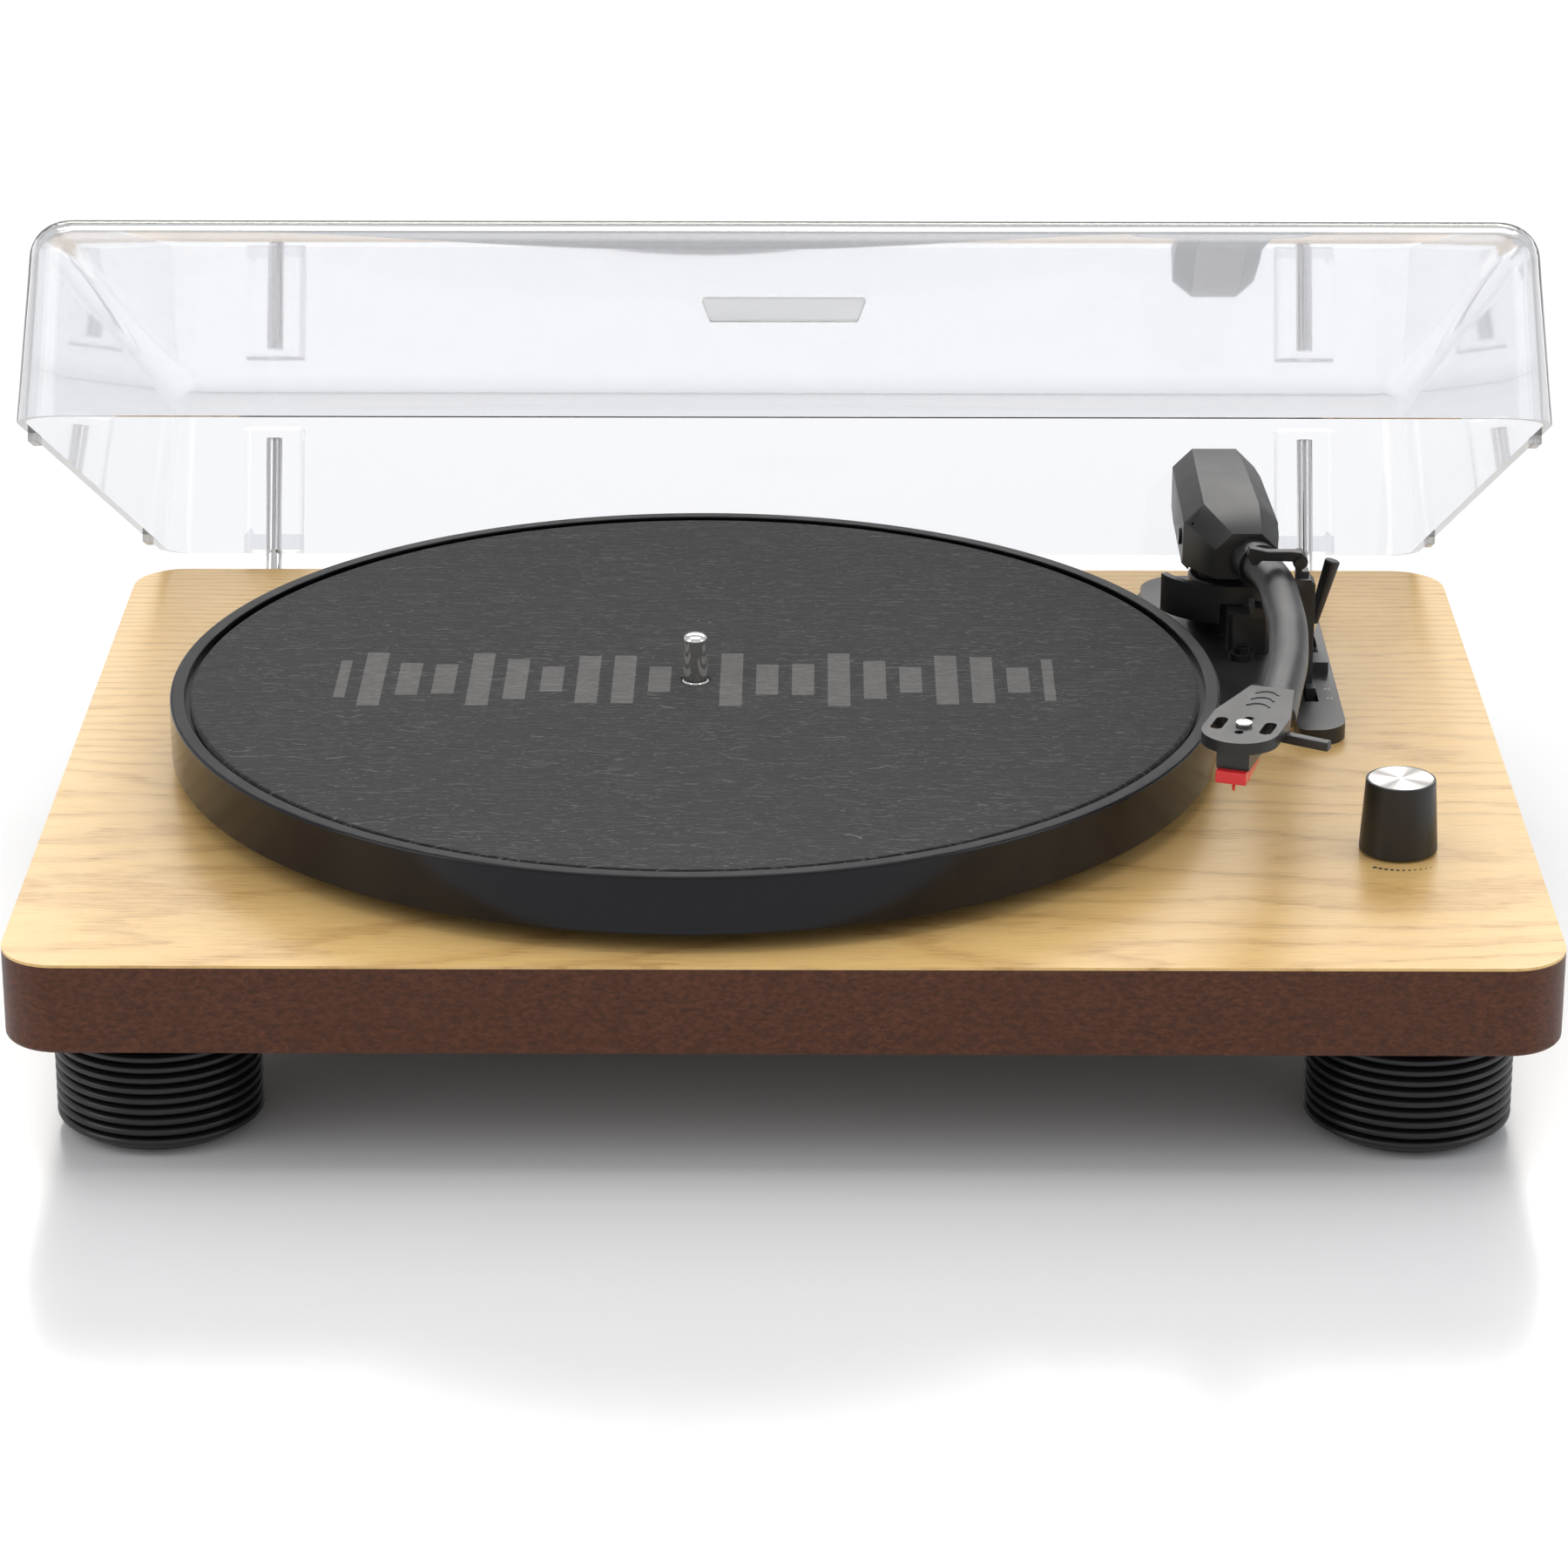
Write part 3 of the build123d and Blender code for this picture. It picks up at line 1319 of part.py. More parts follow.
rim_z = top_z + cover_seat
cover_back = hinge_y + 5.2
cover_y = cover_back - cover_d / 2
cover_taper = degrees(acos(cover_h / sqrt(cover_h**2 + cover_draft**2)))
pocket_w = 19.0
pocket_d = 11.0
pocket_h = 40.0
pocket_y = cover_back - cover_draft * pocket_h / cover_h - 0.3 - pocket_d / 2
grip_top_w = 44.0
grip_low_w = 39.0
grip_h = 6.5
grip_rise = 28.4
grip_t = 2.5
bumper_w = 2.5
bumper_l = 10.0
bumper_y = 120.0


with BuildPart() as cover_cavity:
    with BuildSketch(Plane.XY.offset(rim_z)):
        with Locations((plinth_x, cover_y)):
            RectangleRounded(cover_w - 2 * cover_t, cover_d - 2 * cover_t, cover_r + cover_draft - cover_t)
    extrude(amount=cover_h - cover_t, taper=cover_taper)
    fillet(cover_cavity.faces().sort_by(Axis.Z)[-1].outer_wire().edges(), cover_r - 5)

with BuildPart() as dust_cover:
    with BuildSketch(Plane.XY.offset(rim_z)):
        with Locations((plinth_x, cover_y)):
            RectangleRounded(cover_w, cover_d, cover_r + cover_draft)
    extrude(amount=cover_h, taper=cover_taper)
    fillet(dust_cover.faces().sort_by(Axis.Z)[-1].outer_wire().edges(), cover_r - 2)
    add(cover_cavity.part, mode=Mode.SUBTRACT)
    with BuildSketch(Plane.XY.offset(rim_z)):
        with Locations(*[(x, pocket_y) for x in hinge_spots]):
            RectangleRounded(pocket_w, pocket_d, 3)
    extrude(amount=pocket_h)
    with BuildSketch(Plane.XY.offset(rim_z)):
        with Locations(*[(x, rod_y) for x in hinge_spots]):
            Circle(hinge_rod_r)
    extrude(amount=rod_top - rim_z, mode=Mode.SUBTRACT)
written(opened(dust_cover.part), "dust_cover")

with BuildPart() as hinge_rod:
    with Locations((0, rod_y, (rod_top + hinge_z) / 2)):
        Cylinder(hinge_rod_r, rod_top - hinge_z)
    with Locations((0, hinge_y, hinge_z)):
        Cylinder(ear_r, ear_gap - 2 * fit_gap, rotation=(0, 90, 0))
        Cylinder(hinge_pin_r, ear_gap + 2 * ear_t + 1.2, rotation=(0, 90, 0))
written(copies(opened(hinge_rod.part), hinge_places), "hinge_rods")

cover_front = cover_back - cover_d
grip_plane = Plane(
    origin=(plinth_x, cover_front + cover_draft * grip_rise / cover_h, rim_z + grip_rise),
    x_dir=(1, 0, 0),
    z_dir=(0, -cover_h, cover_draft),
)
with BuildPart() as cover_grip:
    with BuildSketch(grip_plane):
        with BuildLine():
            Polyline(
                (-grip_low_w / 2, -grip_h / 2),
                (grip_low_w / 2, -grip_h / 2),
                (grip_top_w / 2, grip_h / 2),
                (-grip_top_w / 2, grip_h / 2),
                close=True,
            )
        make_face()
    extrude(amount=grip_t)
    fillet(cover_grip.edges().filter_by(Axis((0, 0, 0), grip_plane.z_dir)), 1.0)
written(opened(cover_grip.part), "cover_grip")

bumper_x = (cover_w - cover_t) / 2
bumper_h = rim_z - top_z - 0.1
with BuildPart() as cover_bumpers:
    for sx in (-1, 1):
        for sy in (-1, 1):
            with Locations((plinth_x + sx * bumper_x, sy * bumper_y, rim_z - bumper_h / 2)):
                Box(bumper_w, bumper_l, bumper_h)
written(opened(cover_bumpers.part), "cover_bumpers")
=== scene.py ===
import json
import math

import bpy
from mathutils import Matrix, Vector

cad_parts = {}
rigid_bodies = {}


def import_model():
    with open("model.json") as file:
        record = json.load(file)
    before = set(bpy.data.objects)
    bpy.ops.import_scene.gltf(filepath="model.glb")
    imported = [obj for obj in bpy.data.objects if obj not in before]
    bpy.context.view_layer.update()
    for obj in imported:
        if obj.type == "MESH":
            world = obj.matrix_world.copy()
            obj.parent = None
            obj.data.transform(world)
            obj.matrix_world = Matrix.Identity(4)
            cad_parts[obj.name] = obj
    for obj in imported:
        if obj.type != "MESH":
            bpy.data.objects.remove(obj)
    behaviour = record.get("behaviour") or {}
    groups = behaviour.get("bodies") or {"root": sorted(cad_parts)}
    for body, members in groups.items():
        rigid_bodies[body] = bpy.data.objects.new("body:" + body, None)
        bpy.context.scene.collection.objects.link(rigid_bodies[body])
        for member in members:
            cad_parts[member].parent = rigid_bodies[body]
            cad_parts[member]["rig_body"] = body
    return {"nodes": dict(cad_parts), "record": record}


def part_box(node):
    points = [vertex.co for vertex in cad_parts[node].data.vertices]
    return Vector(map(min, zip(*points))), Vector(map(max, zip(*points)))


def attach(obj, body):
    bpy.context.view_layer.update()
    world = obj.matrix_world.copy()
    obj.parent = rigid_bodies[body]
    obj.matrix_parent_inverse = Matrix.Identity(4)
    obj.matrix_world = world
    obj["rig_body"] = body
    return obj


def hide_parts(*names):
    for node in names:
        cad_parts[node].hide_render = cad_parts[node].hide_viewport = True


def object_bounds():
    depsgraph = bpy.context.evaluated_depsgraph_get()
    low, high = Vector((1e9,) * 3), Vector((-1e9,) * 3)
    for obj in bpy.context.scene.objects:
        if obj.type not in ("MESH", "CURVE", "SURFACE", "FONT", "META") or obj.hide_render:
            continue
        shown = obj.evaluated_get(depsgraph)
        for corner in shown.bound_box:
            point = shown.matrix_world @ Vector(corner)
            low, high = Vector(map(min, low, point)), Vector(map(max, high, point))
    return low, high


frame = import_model()

bl_info = {
    "name": "Record Player Builder",
    "version": (1, 0, 0),
    "blender": (4, 5, 0),
    "location": "View3D > Sidebar > Record Player",
    "description": "Finishes a belt-drive record player, piece by piece, round its measured frame",
    "category": "Object",
}

MM = 0.001
SHELL_TURN = 19.0
SHELL_ROOT = (163.0 * MM, -64.4 * MM)
CAD_LOW, CAD_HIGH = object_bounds()


# ---------------------------------------------------------------- settings
class RecordPlayerSizes(bpy.types.PropertyGroup):
    """Sizes that the pieces are finished with."""

    edge: bpy.props.FloatProperty(
        name="Edge softness", description="Width of the small bevels on moulded parts",
        default=0.35 * MM, unit="LENGTH")
    plinth_edge: bpy.props.FloatProperty(
        name="Plinth edge", description="Width of the bevel on the plinth's upper arris",
        default=0.4 * MM, unit="LENGTH")
    rim_ring: bpy.props.FloatProperty(
        name="Rim ring", description="Width of the platter's bare ring outside the mat",
        default=4.3 * MM, unit="LENGTH")
    platter_depth: bpy.props.FloatProperty(
        name="Platter depth", description="Height of the platter's outer wall",
        default=17.3 * MM, unit="LENGTH")
    foot_ribs: bpy.props.IntProperty(
        name="Foot ribs", description="Number of ribs round each foot", default=10)
    foot_rib_depth: bpy.props.FloatProperty(
        name="Rib depth", description="How far a rib stands out of its foot",
        default=1.9 * MM, unit="LENGTH")
    knob_cap: bpy.props.FloatProperty(
        name="Knob cap", description="Thickness of the knob's spun cap", default=1.0 * MM, unit="LENGTH")
    dial_radius: bpy.props.FloatProperty(
        name="Dial radius", description="Radius of the printed dots round the volume knob",
        default=15.5 * MM, unit="LENGTH")


class RecordPlayerColours(bpy.types.PropertyGroup):
    """Colours of the finishes."""

    veneer_light: bpy.props.FloatVectorProperty(
        name="Veneer, light", description="Ash between the growth rings",
        default=(0.82, 0.555, 0.225), size=3, subtype="COLOR", min=0, max=1)
    veneer_dark: bpy.props.FloatVectorProperty(
        name="Veneer, dark", description="Ash at the growth rings",
        default=(0.36, 0.155, 0.038), size=3, subtype="COLOR", min=0, max=1)
    stain: bpy.props.FloatVectorProperty(
        name="Side stain", description="Brown stain of the plinth's sides",
        default=(0.080, 0.023, 0.0075), size=3, subtype="COLOR", min=0, max=1)
    felt: bpy.props.FloatVectorProperty(
        name="Felt", description="Charcoal felt of the mat",
        default=(0.021, 0.0205, 0.020), size=3, subtype="COLOR", min=0, max=1)
    print_grey: bpy.props.FloatVectorProperty(
        name="Print", description="Grey of the pattern on the mat",
        default=(0.16, 0.153, 0.147), size=3, subtype="COLOR", min=0, max=1)
    stylus: bpy.props.FloatVectorProperty(
        name="Stylus", description="Red of the stylus holder",
        default=(0.70, 0.012, 0.018), size=3, subtype="COLOR", min=0, max=1)
    cover: bpy.props.FloatVectorProperty(
        name="Cover", description="Tint of the clear cover",
        default=(0.865, 0.87, 0.89), size=3, subtype="COLOR", min=0, max=1)
    floor: bpy.props.FloatVectorProperty(
        name="Floor", description="Pale floor",
        default=(0.80, 0.81, 0.83), size=3, subtype="COLOR", min=0, max=1)


def sizes():
    return bpy.context.scene.record_player_sizes


def colours():
    return bpy.context.scene.record_player_colours


# ---------------------------------------------------------------- node helpers
def add_node(tree, kind, inputs=None, **settings):
    """A shader node with its settings and unlinked inputs set."""
    made = tree.nodes.new(kind)
    for key, value in settings.items():
        setattr(made, key, value)
    for key, value in (inputs or {}).items():
        made.inputs[key].default_value = value
    return made


def join(tree, source, target):
    tree.links.new(source, target)


def ramp(tree, stops, source):
    """A colour ramp through (position, colour) stops, fed by source."""
    made = tree.nodes.new("ShaderNodeValToRGB")
    elements = made.color_ramp.elements
    while len(elements) < len(stops):
        elements.new(0.5)
    for element, (position, colour) in zip(elements, stops):
        element.position = position
        element.color = (*colour, 1)
    join(tree, source, made.inputs["Fac"])
    return made.outputs["Color"]


def math_node(tree, operation, first, second=None, third=None):
    """One Math node. A number is set on the socket, and anything else is linked to it."""
    made = tree.nodes.new("ShaderNodeMath")
    made.operation = operation
    for socket, value in zip(made.inputs, (first, second, third)):
        if value is None:
            continue
        if isinstance(value, (int, float)):
            socket.default_value = value
        else:
            join(tree, value, socket)
    return made.outputs[0]


def blend_colours(tree, factor, first, second):
    """Mixes two colours, each a tuple or an output, by factor."""
    made = tree.nodes.new("ShaderNodeMix")
    made.data_type = "RGBA"
    join(tree, factor, made.inputs["Factor"])
    for socket, value in ((made.inputs[6], first), (made.inputs[7], second)):
        if isinstance(value, (tuple, list)):
            socket.default_value = (*value[:3], 1)
        else:
            join(tree, value, socket)
    return made.outputs[2]


def object_point(tree, scale=(1, 1, 1), location=(0, 0, 0), turn=(0, 0, 0)):
    """Object coordinates, centred, turned and scaled."""
    place = tree.nodes.new("ShaderNodeTexCoord")
    mapping = add_node(tree, "ShaderNodeMapping", {"Location": location, "Rotation": turn, "Scale": scale})
    join(tree, place.outputs["Object"], mapping.inputs["Vector"])
    return mapping.outputs["Vector"]


def group_socket(group, name, way, kind, value=None):
    made = group.interface.new_socket(name=name, in_out=way, socket_type=kind)
    if value is not None:
        made.default_value = value
    return made


def skin_group():
    """Moulded or cast skin: fine grain, cloudy patches, and edges that have rubbed lighter."""
    if "Moulded skin" in bpy.data.node_groups:
        return bpy.data.node_groups["Moulded skin"]
    group = bpy.data.node_groups.new("Moulded skin", "ShaderNodeTree")
    group_socket(group, "Colour", "INPUT", "NodeSocketColor", (0.5, 0.5, 0.5, 1))
    group_socket(group, "Rubbed Colour", "INPUT", "NodeSocketColor", (0.6, 0.6, 0.6, 1))
    group_socket(group, "Grain Scale", "INPUT", "NodeSocketFloat", 1500.0)
    group_socket(group, "Roughness", "INPUT", "NodeSocketFloat", 0.4)
    group_socket(group, "Cloudiness", "INPUT", "NodeSocketFloat", 0.15)
    group_socket(group, "Rub", "INPUT", "NodeSocketFloat", 0.5)
    group_socket(group, "Colour", "OUTPUT", "NodeSocketColor")
    group_socket(group, "Roughness", "OUTPUT", "NodeSocketFloat")
    group_socket(group, "Height", "OUTPUT", "NodeSocketFloat")
    given = group.nodes.new("NodeGroupInput")
    result = group.nodes.new("NodeGroupOutput")
    point = object_point(group)
    grain = add_node(group, "ShaderNodeTexNoise", {"Detail": 3.0, "Roughness": 0.6})
    join(group, point, grain.inputs["Vector"])
    join(group, given.outputs["Grain Scale"], grain.inputs["Scale"])
    cloud = add_node(group, "ShaderNodeTexNoise", {"Scale": 45.0, "Detail": 5.0, "Roughness": 0.65})
    join(group, point, cloud.inputs["Vector"])
    about = math_node(group, "SUBTRACT", cloud.outputs["Fac"], 0.5)
    swing = math_node(group, "MULTIPLY", about, given.outputs["Cloudiness"])
    rough = math_node(group, "ADD", given.outputs["Roughness"], swing)
    join(group, rough, result.inputs["Roughness"])
    shape = group.nodes.new("ShaderNodeNewGeometry")
    edge = add_node(group, "ShaderNodeMapRange", {"From Min": 0.53, "From Max": 0.62})
    join(group, shape.outputs["Pointiness"], edge.inputs["Value"])
    patchy = math_node(group, "MULTIPLY", edge.outputs["Result"], given.outputs["Rub"])
    patchy = math_node(group, "MULTIPLY", patchy, cloud.outputs["Fac"])
    worn = blend_colours(group, patchy, given.outputs["Colour"], given.outputs["Rubbed Colour"])
    join(group, worn, result.inputs["Colour"])
    join(group, grain.outputs["Fac"], result.inputs["Height"])
    return group


def plain_finish(name, colour, roughness, metallic=0.0, **sockets):
    """A material with its Principled shader set, and nothing else yet."""
    finish = bpy.data.materials.new(name)
    finish.use_nodes = True
    finish.diffuse_color = (*colour[:3], 1)
    shader = finish.node_tree.nodes["Principled BSDF"]
    shader.inputs["Base Color"].default_value = (*colour[:3], 1)
    shader.inputs["Roughness"].default_value = roughness
    shader.inputs["Metallic"].default_value = metallic
    for key, value in sockets.items():
        shader.inputs[key.replace("_", " ")].default_value = value
    return finish, finish.node_tree, shader


def bump(tree, shader, height, distance, strength=1.0):
    made = add_node(tree, "ShaderNodeBump", {"Strength": strength, "Distance": distance})
    join(tree, height, made.inputs["Height"])
    join(tree, made.outputs["Normal"], shader.inputs["Normal"])


def skinned(name, colour, roughness, metallic=0.0, grain=1500.0, depth=0.02 * MM, cloud=0.15, rub=0.5,
            rubbed=None, **sockets):
    """A finish on the moulded skin group."""
    if name in bpy.data.materials:
        return bpy.data.materials[name]
    finish, tree, shader = plain_finish(name, colour, roughness, metallic, **sockets)
    skin = add_node(tree, "ShaderNodeGroup", node_tree=skin_group())
    lighter = rubbed or tuple(min(1.0, c * 1.6 + 0.02) for c in colour[:3])
    skin.inputs["Colour"].default_value = (*colour[:3], 1)
    skin.inputs["Rubbed Colour"].default_value = (*lighter, 1)
    skin.inputs["Grain Scale"].default_value = grain
    skin.inputs["Roughness"].default_value = roughness
    skin.inputs["Cloudiness"].default_value = cloud
    skin.inputs["Rub"].default_value = rub
    if rub:
        join(tree, skin.outputs["Colour"], shader.inputs["Base Color"])
    join(tree, skin.outputs["Roughness"], shader.inputs["Roughness"])
    bump(tree, shader, skin.outputs["Height"], depth)
    return finish


# ---------------------------------------------------------------- finishes
def ash_veneer():
    if "Ash veneer" in bpy.data.materials:
        return bpy.data.materials["Ash veneer"]
    light, dark = tuple(colours().veneer_light), tuple(colours().veneer_dark)
    finish, tree, shader = plain_finish("Ash veneer", light, 0.42, Coat_Weight=0.12, Coat_Roughness=0.3)
    point = object_point(tree, location=(0, 0.075, 0), turn=(0, 0, math.radians(-2)))
    place = tree.nodes.new("ShaderNodeSeparateXYZ")
    join(tree, point, place.inputs[0])
    waver = add_node(tree, "ShaderNodeTexNoise", {"Scale": 1.0, "Detail": 2.0, "Roughness": 0.45})
    join(tree, object_point(tree, scale=(3.2, 15.0, 1.0)), waver.inputs["Vector"])
    ripple = add_node(tree, "ShaderNodeTexNoise", {"Scale": 1.0, "Detail": 3.0, "Roughness": 0.6})
    join(tree, object_point(tree, scale=(28.0, 90.0, 1.0)), ripple.inputs["Vector"])
    across = math_node(tree, "MULTIPLY", place.outputs["Y"], place.outputs["Y"])
    arch = math_node(tree, "MULTIPLY", across, 230.0)
    along = math_node(tree, "MULTIPLY", place.outputs["X"], 3.5)
    wavy = math_node(tree, "MULTIPLY", waver.outputs["Fac"], 3.4)
    fine = math_node(tree, "MULTIPLY", ripple.outputs["Fac"], 0.4)
    slope = math_node(tree, "MULTIPLY", place.outputs["Y"], 14.0)
    rings = math_node(tree, "ADD", math_node(tree, "ADD", arch, along), math_node(tree, "ADD", wavy, fine))
    rings = math_node(tree, "ADD", rings, slope)
    saw = math_node(tree, "FRACT", math_node(tree, "MULTIPLY", rings, 2.4))
    growth = ((0.0, 0.25), (0.3, 0.0), (0.62, 0.1), (0.9, 0.8), (1.0, 0.5))
    ringed = ramp(tree, [(position, (level,) * 3) for position, level in growth], saw)
    pores = add_node(tree, "ShaderNodeTexNoise", {"Scale": 1.0, "Detail": 4.0, "Roughness": 0.7})
    join(tree, object_point(tree, scale=(70.0, 1300.0, 1.0)), pores.inputs["Vector"])
    pore = ramp(tree, [(0.5, (0.0,) * 3), (0.72, (1.0,) * 3)], pores.outputs["Fac"])
    streaks = add_node(tree, "ShaderNodeTexNoise", {"Scale": 1.0, "Detail": 3.0, "Roughness": 0.5})
    join(tree, object_point(tree, scale=(9.0, 260.0, 1.0)), streaks.inputs["Vector"])
    amount = math_node(tree, "MULTIPLY", ringed, math_node(tree, "MULTIPLY_ADD", pore, 0.75, 0.35))
    amount = math_node(tree, "MULTIPLY", amount, 1.35)
    base = blend_colours(tree, amount, light, dark)
    honey = tuple(c * f for c, f in zip(light, (0.93, 0.86, 0.72)))
    streaked = math_node(tree, "MULTIPLY", streaks.outputs["Fac"], 0.55)
    even = blend_colours(tree, streaked, base, honey)
    final = blend_colours(tree, math_node(tree, "MULTIPLY", pore, 0.3), even, dark)
    join(tree, final, shader.inputs["Base Color"])
    join(tree, math_node(tree, "MULTIPLY_ADD", pore, 0.12, 0.38), shader.inputs["Roughness"])
    sunk = math_node(tree, "SUBTRACT", 1.0, math_node(tree, "ADD", pore, ringed))
    bump(tree, shader, sunk, 0.03 * MM, 0.6)
    return finish


def stained_board():
    if "Stained board" in bpy.data.materials:
        return bpy.data.materials["Stained board"]
    stain = tuple(colours().stain)
    finish, tree, shader = plain_finish("Stained board", stain, 0.42, Coat_Weight=0.08, Coat_Roughness=0.3,
                                        Specular_IOR_Level=0.3)
    fibre = add_node(tree, "ShaderNodeTexNoise", {"Scale": 900.0, "Detail": 6.0, "Roughness": 0.75})
    join(tree, object_point(tree, scale=(0.5, 0.5, 1.0)), fibre.inputs["Vector"])
    cloud = add_node(tree, "ShaderNodeTexNoise", {"Scale": 60.0, "Detail": 4.0, "Roughness": 0.6})
    join(tree, object_point(tree, scale=(1.0, 1.0, 0.6)), cloud.inputs["Vector"])
    dark = tuple(c * 0.45 for c in stain)
    warm = tuple(min(1.0, c * f) for c, f in zip(stain, (1.9, 2.0, 2.2)))
    flecked = ramp(tree, [(0.36, dark), (0.5, stain), (0.68, warm)], fibre.outputs["Fac"])
    shaded = math_node(tree, "MULTIPLY", cloud.outputs["Fac"], 0.5)
    join(tree, blend_colours(tree, shaded, flecked, stain), shader.inputs["Base Color"])
    rough = math_node(tree, "MULTIPLY_ADD", cloud.outputs["Fac"], 0.15, 0.34)
    join(tree, rough, shader.inputs["Roughness"])
    bump(tree, shader, fibre.outputs["Fac"], 0.03 * MM, 0.5)
    return finish


def felt():
    if "Printed felt" in bpy.data.materials:
        return bpy.data.materials["Printed felt"]
    wool, ink = tuple(colours().felt), tuple(colours().print_grey)
    finish, tree, shader = plain_finish("Printed felt", wool, 0.95, Sheen_Weight=0.25, Sheen_Roughness=0.5,
                                        Specular_IOR_Level=0.25)
    bend = add_node(tree, "ShaderNodeTexNoise", {"Scale": 90.0, "Detail": 2.0})
    join(tree, object_point(tree), bend.inputs["Vector"])
    layers = []
    for turn in (10, 70, 130):
        point = object_point(tree, scale=(150.0, 900.0, 1.0), turn=(0, 0, math.radians(turn)))
        swirl = tree.nodes.new("ShaderNodeVectorMath")
        swirl.operation = "MULTIPLY_ADD"
        join(tree, bend.outputs["Color"], swirl.inputs[0])
        swirl.inputs[1].default_value = (7.0, 7.0, 0.0)
        join(tree, point, swirl.inputs[2])
        hair = add_node(tree, "ShaderNodeTexNoise", {"Scale": 1.0, "Detail": 2.0, "Roughness": 0.6})
        join(tree, swirl.outputs[0], hair.inputs["Vector"])
        layers.append(hair.outputs["Fac"])
    fibres = math_node(tree, "MAXIMUM", math_node(tree, "MAXIMUM", layers[0], layers[1]), layers[2])
    pale = tuple(c * 6.0 + 0.015 for c in wool)
    cloth = ramp(tree, [(0.54, tuple(c * 0.25 for c in wool)), (0.63, wool), (0.75, pale)], fibres)
    printed = ramp(tree, [(0.5, tuple(c * 0.7 for c in ink)), (0.75, tuple(c * 1.25 for c in ink))], fibres)
    place = tree.nodes.new("ShaderNodeSeparateXYZ")
    join(tree, object_point(tree), place.inputs[0])
    pitch, half_width, half_height = 0.0105, 0.105, 0.0225
    counted = math_node(tree, "MULTIPLY_ADD", place.outputs["X"], 1 / pitch, 0.5 + 100)
    beat = math_node(tree, "FRACT", counted)
    from_middle = math_node(tree, "ABSOLUTE", math_node(tree, "SUBTRACT", beat, 0.5))
    bar = math_node(tree, "LESS_THAN", from_middle, 0.31)
    step = math_node(tree, "ROUND", math_node(tree, "MULTIPLY", place.outputs["X"], 1 / pitch))
    level = math_node(tree, "SINE", math_node(tree, "MULTIPLY", step, 1.9))
    level = math_node(tree, "MULTIPLY_ADD", level, 0.27, 0.73)
    tall = math_node(tree, "MULTIPLY", level, half_height)
    inside = math_node(tree, "LESS_THAN", math_node(tree, "ABSOLUTE", place.outputs["Y"]), tall)
    wide = math_node(tree, "LESS_THAN", math_node(tree, "ABSOLUTE", place.outputs["X"]), half_width)
    clear = math_node(tree, "GREATER_THAN", math_node(tree, "ABSOLUTE", place.outputs["X"]), 0.007)
    upright = math_node(tree, "MULTIPLY", bar, inside)
    sideways = math_node(tree, "MULTIPLY", wide, clear)
    mask = math_node(tree, "MULTIPLY", upright, sideways)
    join(tree, blend_colours(tree, mask, cloth, printed), shader.inputs["Base Color"])
    bump(tree, shader, fibres, 0.25 * MM, 0.9)
    return finish


def satin_black():
    return skinned("Satin black plastic", (0.013, 0.0135, 0.0145), 0.34, grain=2600.0,
                   depth=0.012 * MM, rub=0.8, rubbed=(0.075, 0.075, 0.078))


def arm_black():
    return skinned("Tonearm black", (0.014, 0.0145, 0.0155), 0.40, grain=3200.0,
                   depth=0.02 * MM, cloud=0.25, rub=0.9, rubbed=(0.085, 0.083, 0.082))


def gloss_black():
    """Gloss black, with the satin that a rim's upward faces are left with."""
    if "Gloss black platter" in bpy.data.materials:
        return bpy.data.materials["Gloss black platter"]
    finish = skinned("Gloss black platter", (0.004, 0.0045, 0.007), 0.16, grain=500.0,
                     depth=0.002 * MM, cloud=0.08, rub=0.0, Specular_IOR_Level=0.3)
    tree = finish.node_tree
    shader = tree.nodes["Principled BSDF"]
    skin = shader.inputs["Roughness"].links[0].from_socket
    facing = tree.nodes.new("ShaderNodeSeparateXYZ")
    join(tree, tree.nodes.new("ShaderNodeNewGeometry").outputs["Normal"], facing.inputs[0])
    upward = math_node(tree, "GREATER_THAN", facing.outputs["Z"], 0.8)
    join(tree, math_node(tree, "MULTIPLY_ADD", upward, 0.4, skin), shader.inputs["Roughness"])
    return finish


def foot_black():
    return skinned("Foot black", (0.006, 0.006, 0.0065), 0.3, grain=1800.0, depth=0.01 * MM, rub=0.5)


def dull_black():
    return skinned("Dull black plastic", (0.02, 0.02, 0.021), 0.55, grain=1400.0, depth=0.03 * MM)


def rubber():
    return skinned("Black rubber", (0.012, 0.012, 0.012), 0.8, grain=2200.0, depth=0.04 * MM, rub=0.2)


def chrome():
    return skinned("Chrome", (0.80, 0.79, 0.77), 0.07, 1.0, grain=300.0,
                   depth=0.001 * MM, cloud=0.05, rub=0.0)


def plated_steel():
    return skinned("Plated steel", (0.56, 0.56, 0.55), 0.28, 1.0, grain=1800.0, depth=0.008 * MM, rub=0.3)


def black_steel():
    return skinned("Blackened steel", (0.03, 0.03, 0.032), 0.32, 0.6, grain=2000.0,
                   depth=0.008 * MM, rub=0.9)


def gilt():
    return skinned("Gilt brass", (0.83, 0.58, 0.22), 0.22, 1.0, grain=1500.0, depth=0.006 * MM, rub=0.3)


def ferrite():
    return skinned("Ferrite", (0.05, 0.05, 0.052), 0.6, grain=1200.0, depth=0.05 * MM)


def paper_cone():
    return skinned("Pressed paper", (0.02, 0.02, 0.02), 0.9, grain=1600.0, depth=0.1 * MM, Sheen_Weight=0.2)


def red_plastic():
    return skinned("Stylus red", tuple(colours().stylus), 0.28, grain=900.0, depth=0.004 * MM, rub=0.3,
                   rubbed=(0.85, 0.10, 0.09), Coat_Weight=0.2)


def hardboard():
    return skinned("Hardboard", (0.10, 0.055, 0.028), 0.7, grain=700.0, depth=0.08 * MM, cloud=0.3, rub=0.4)


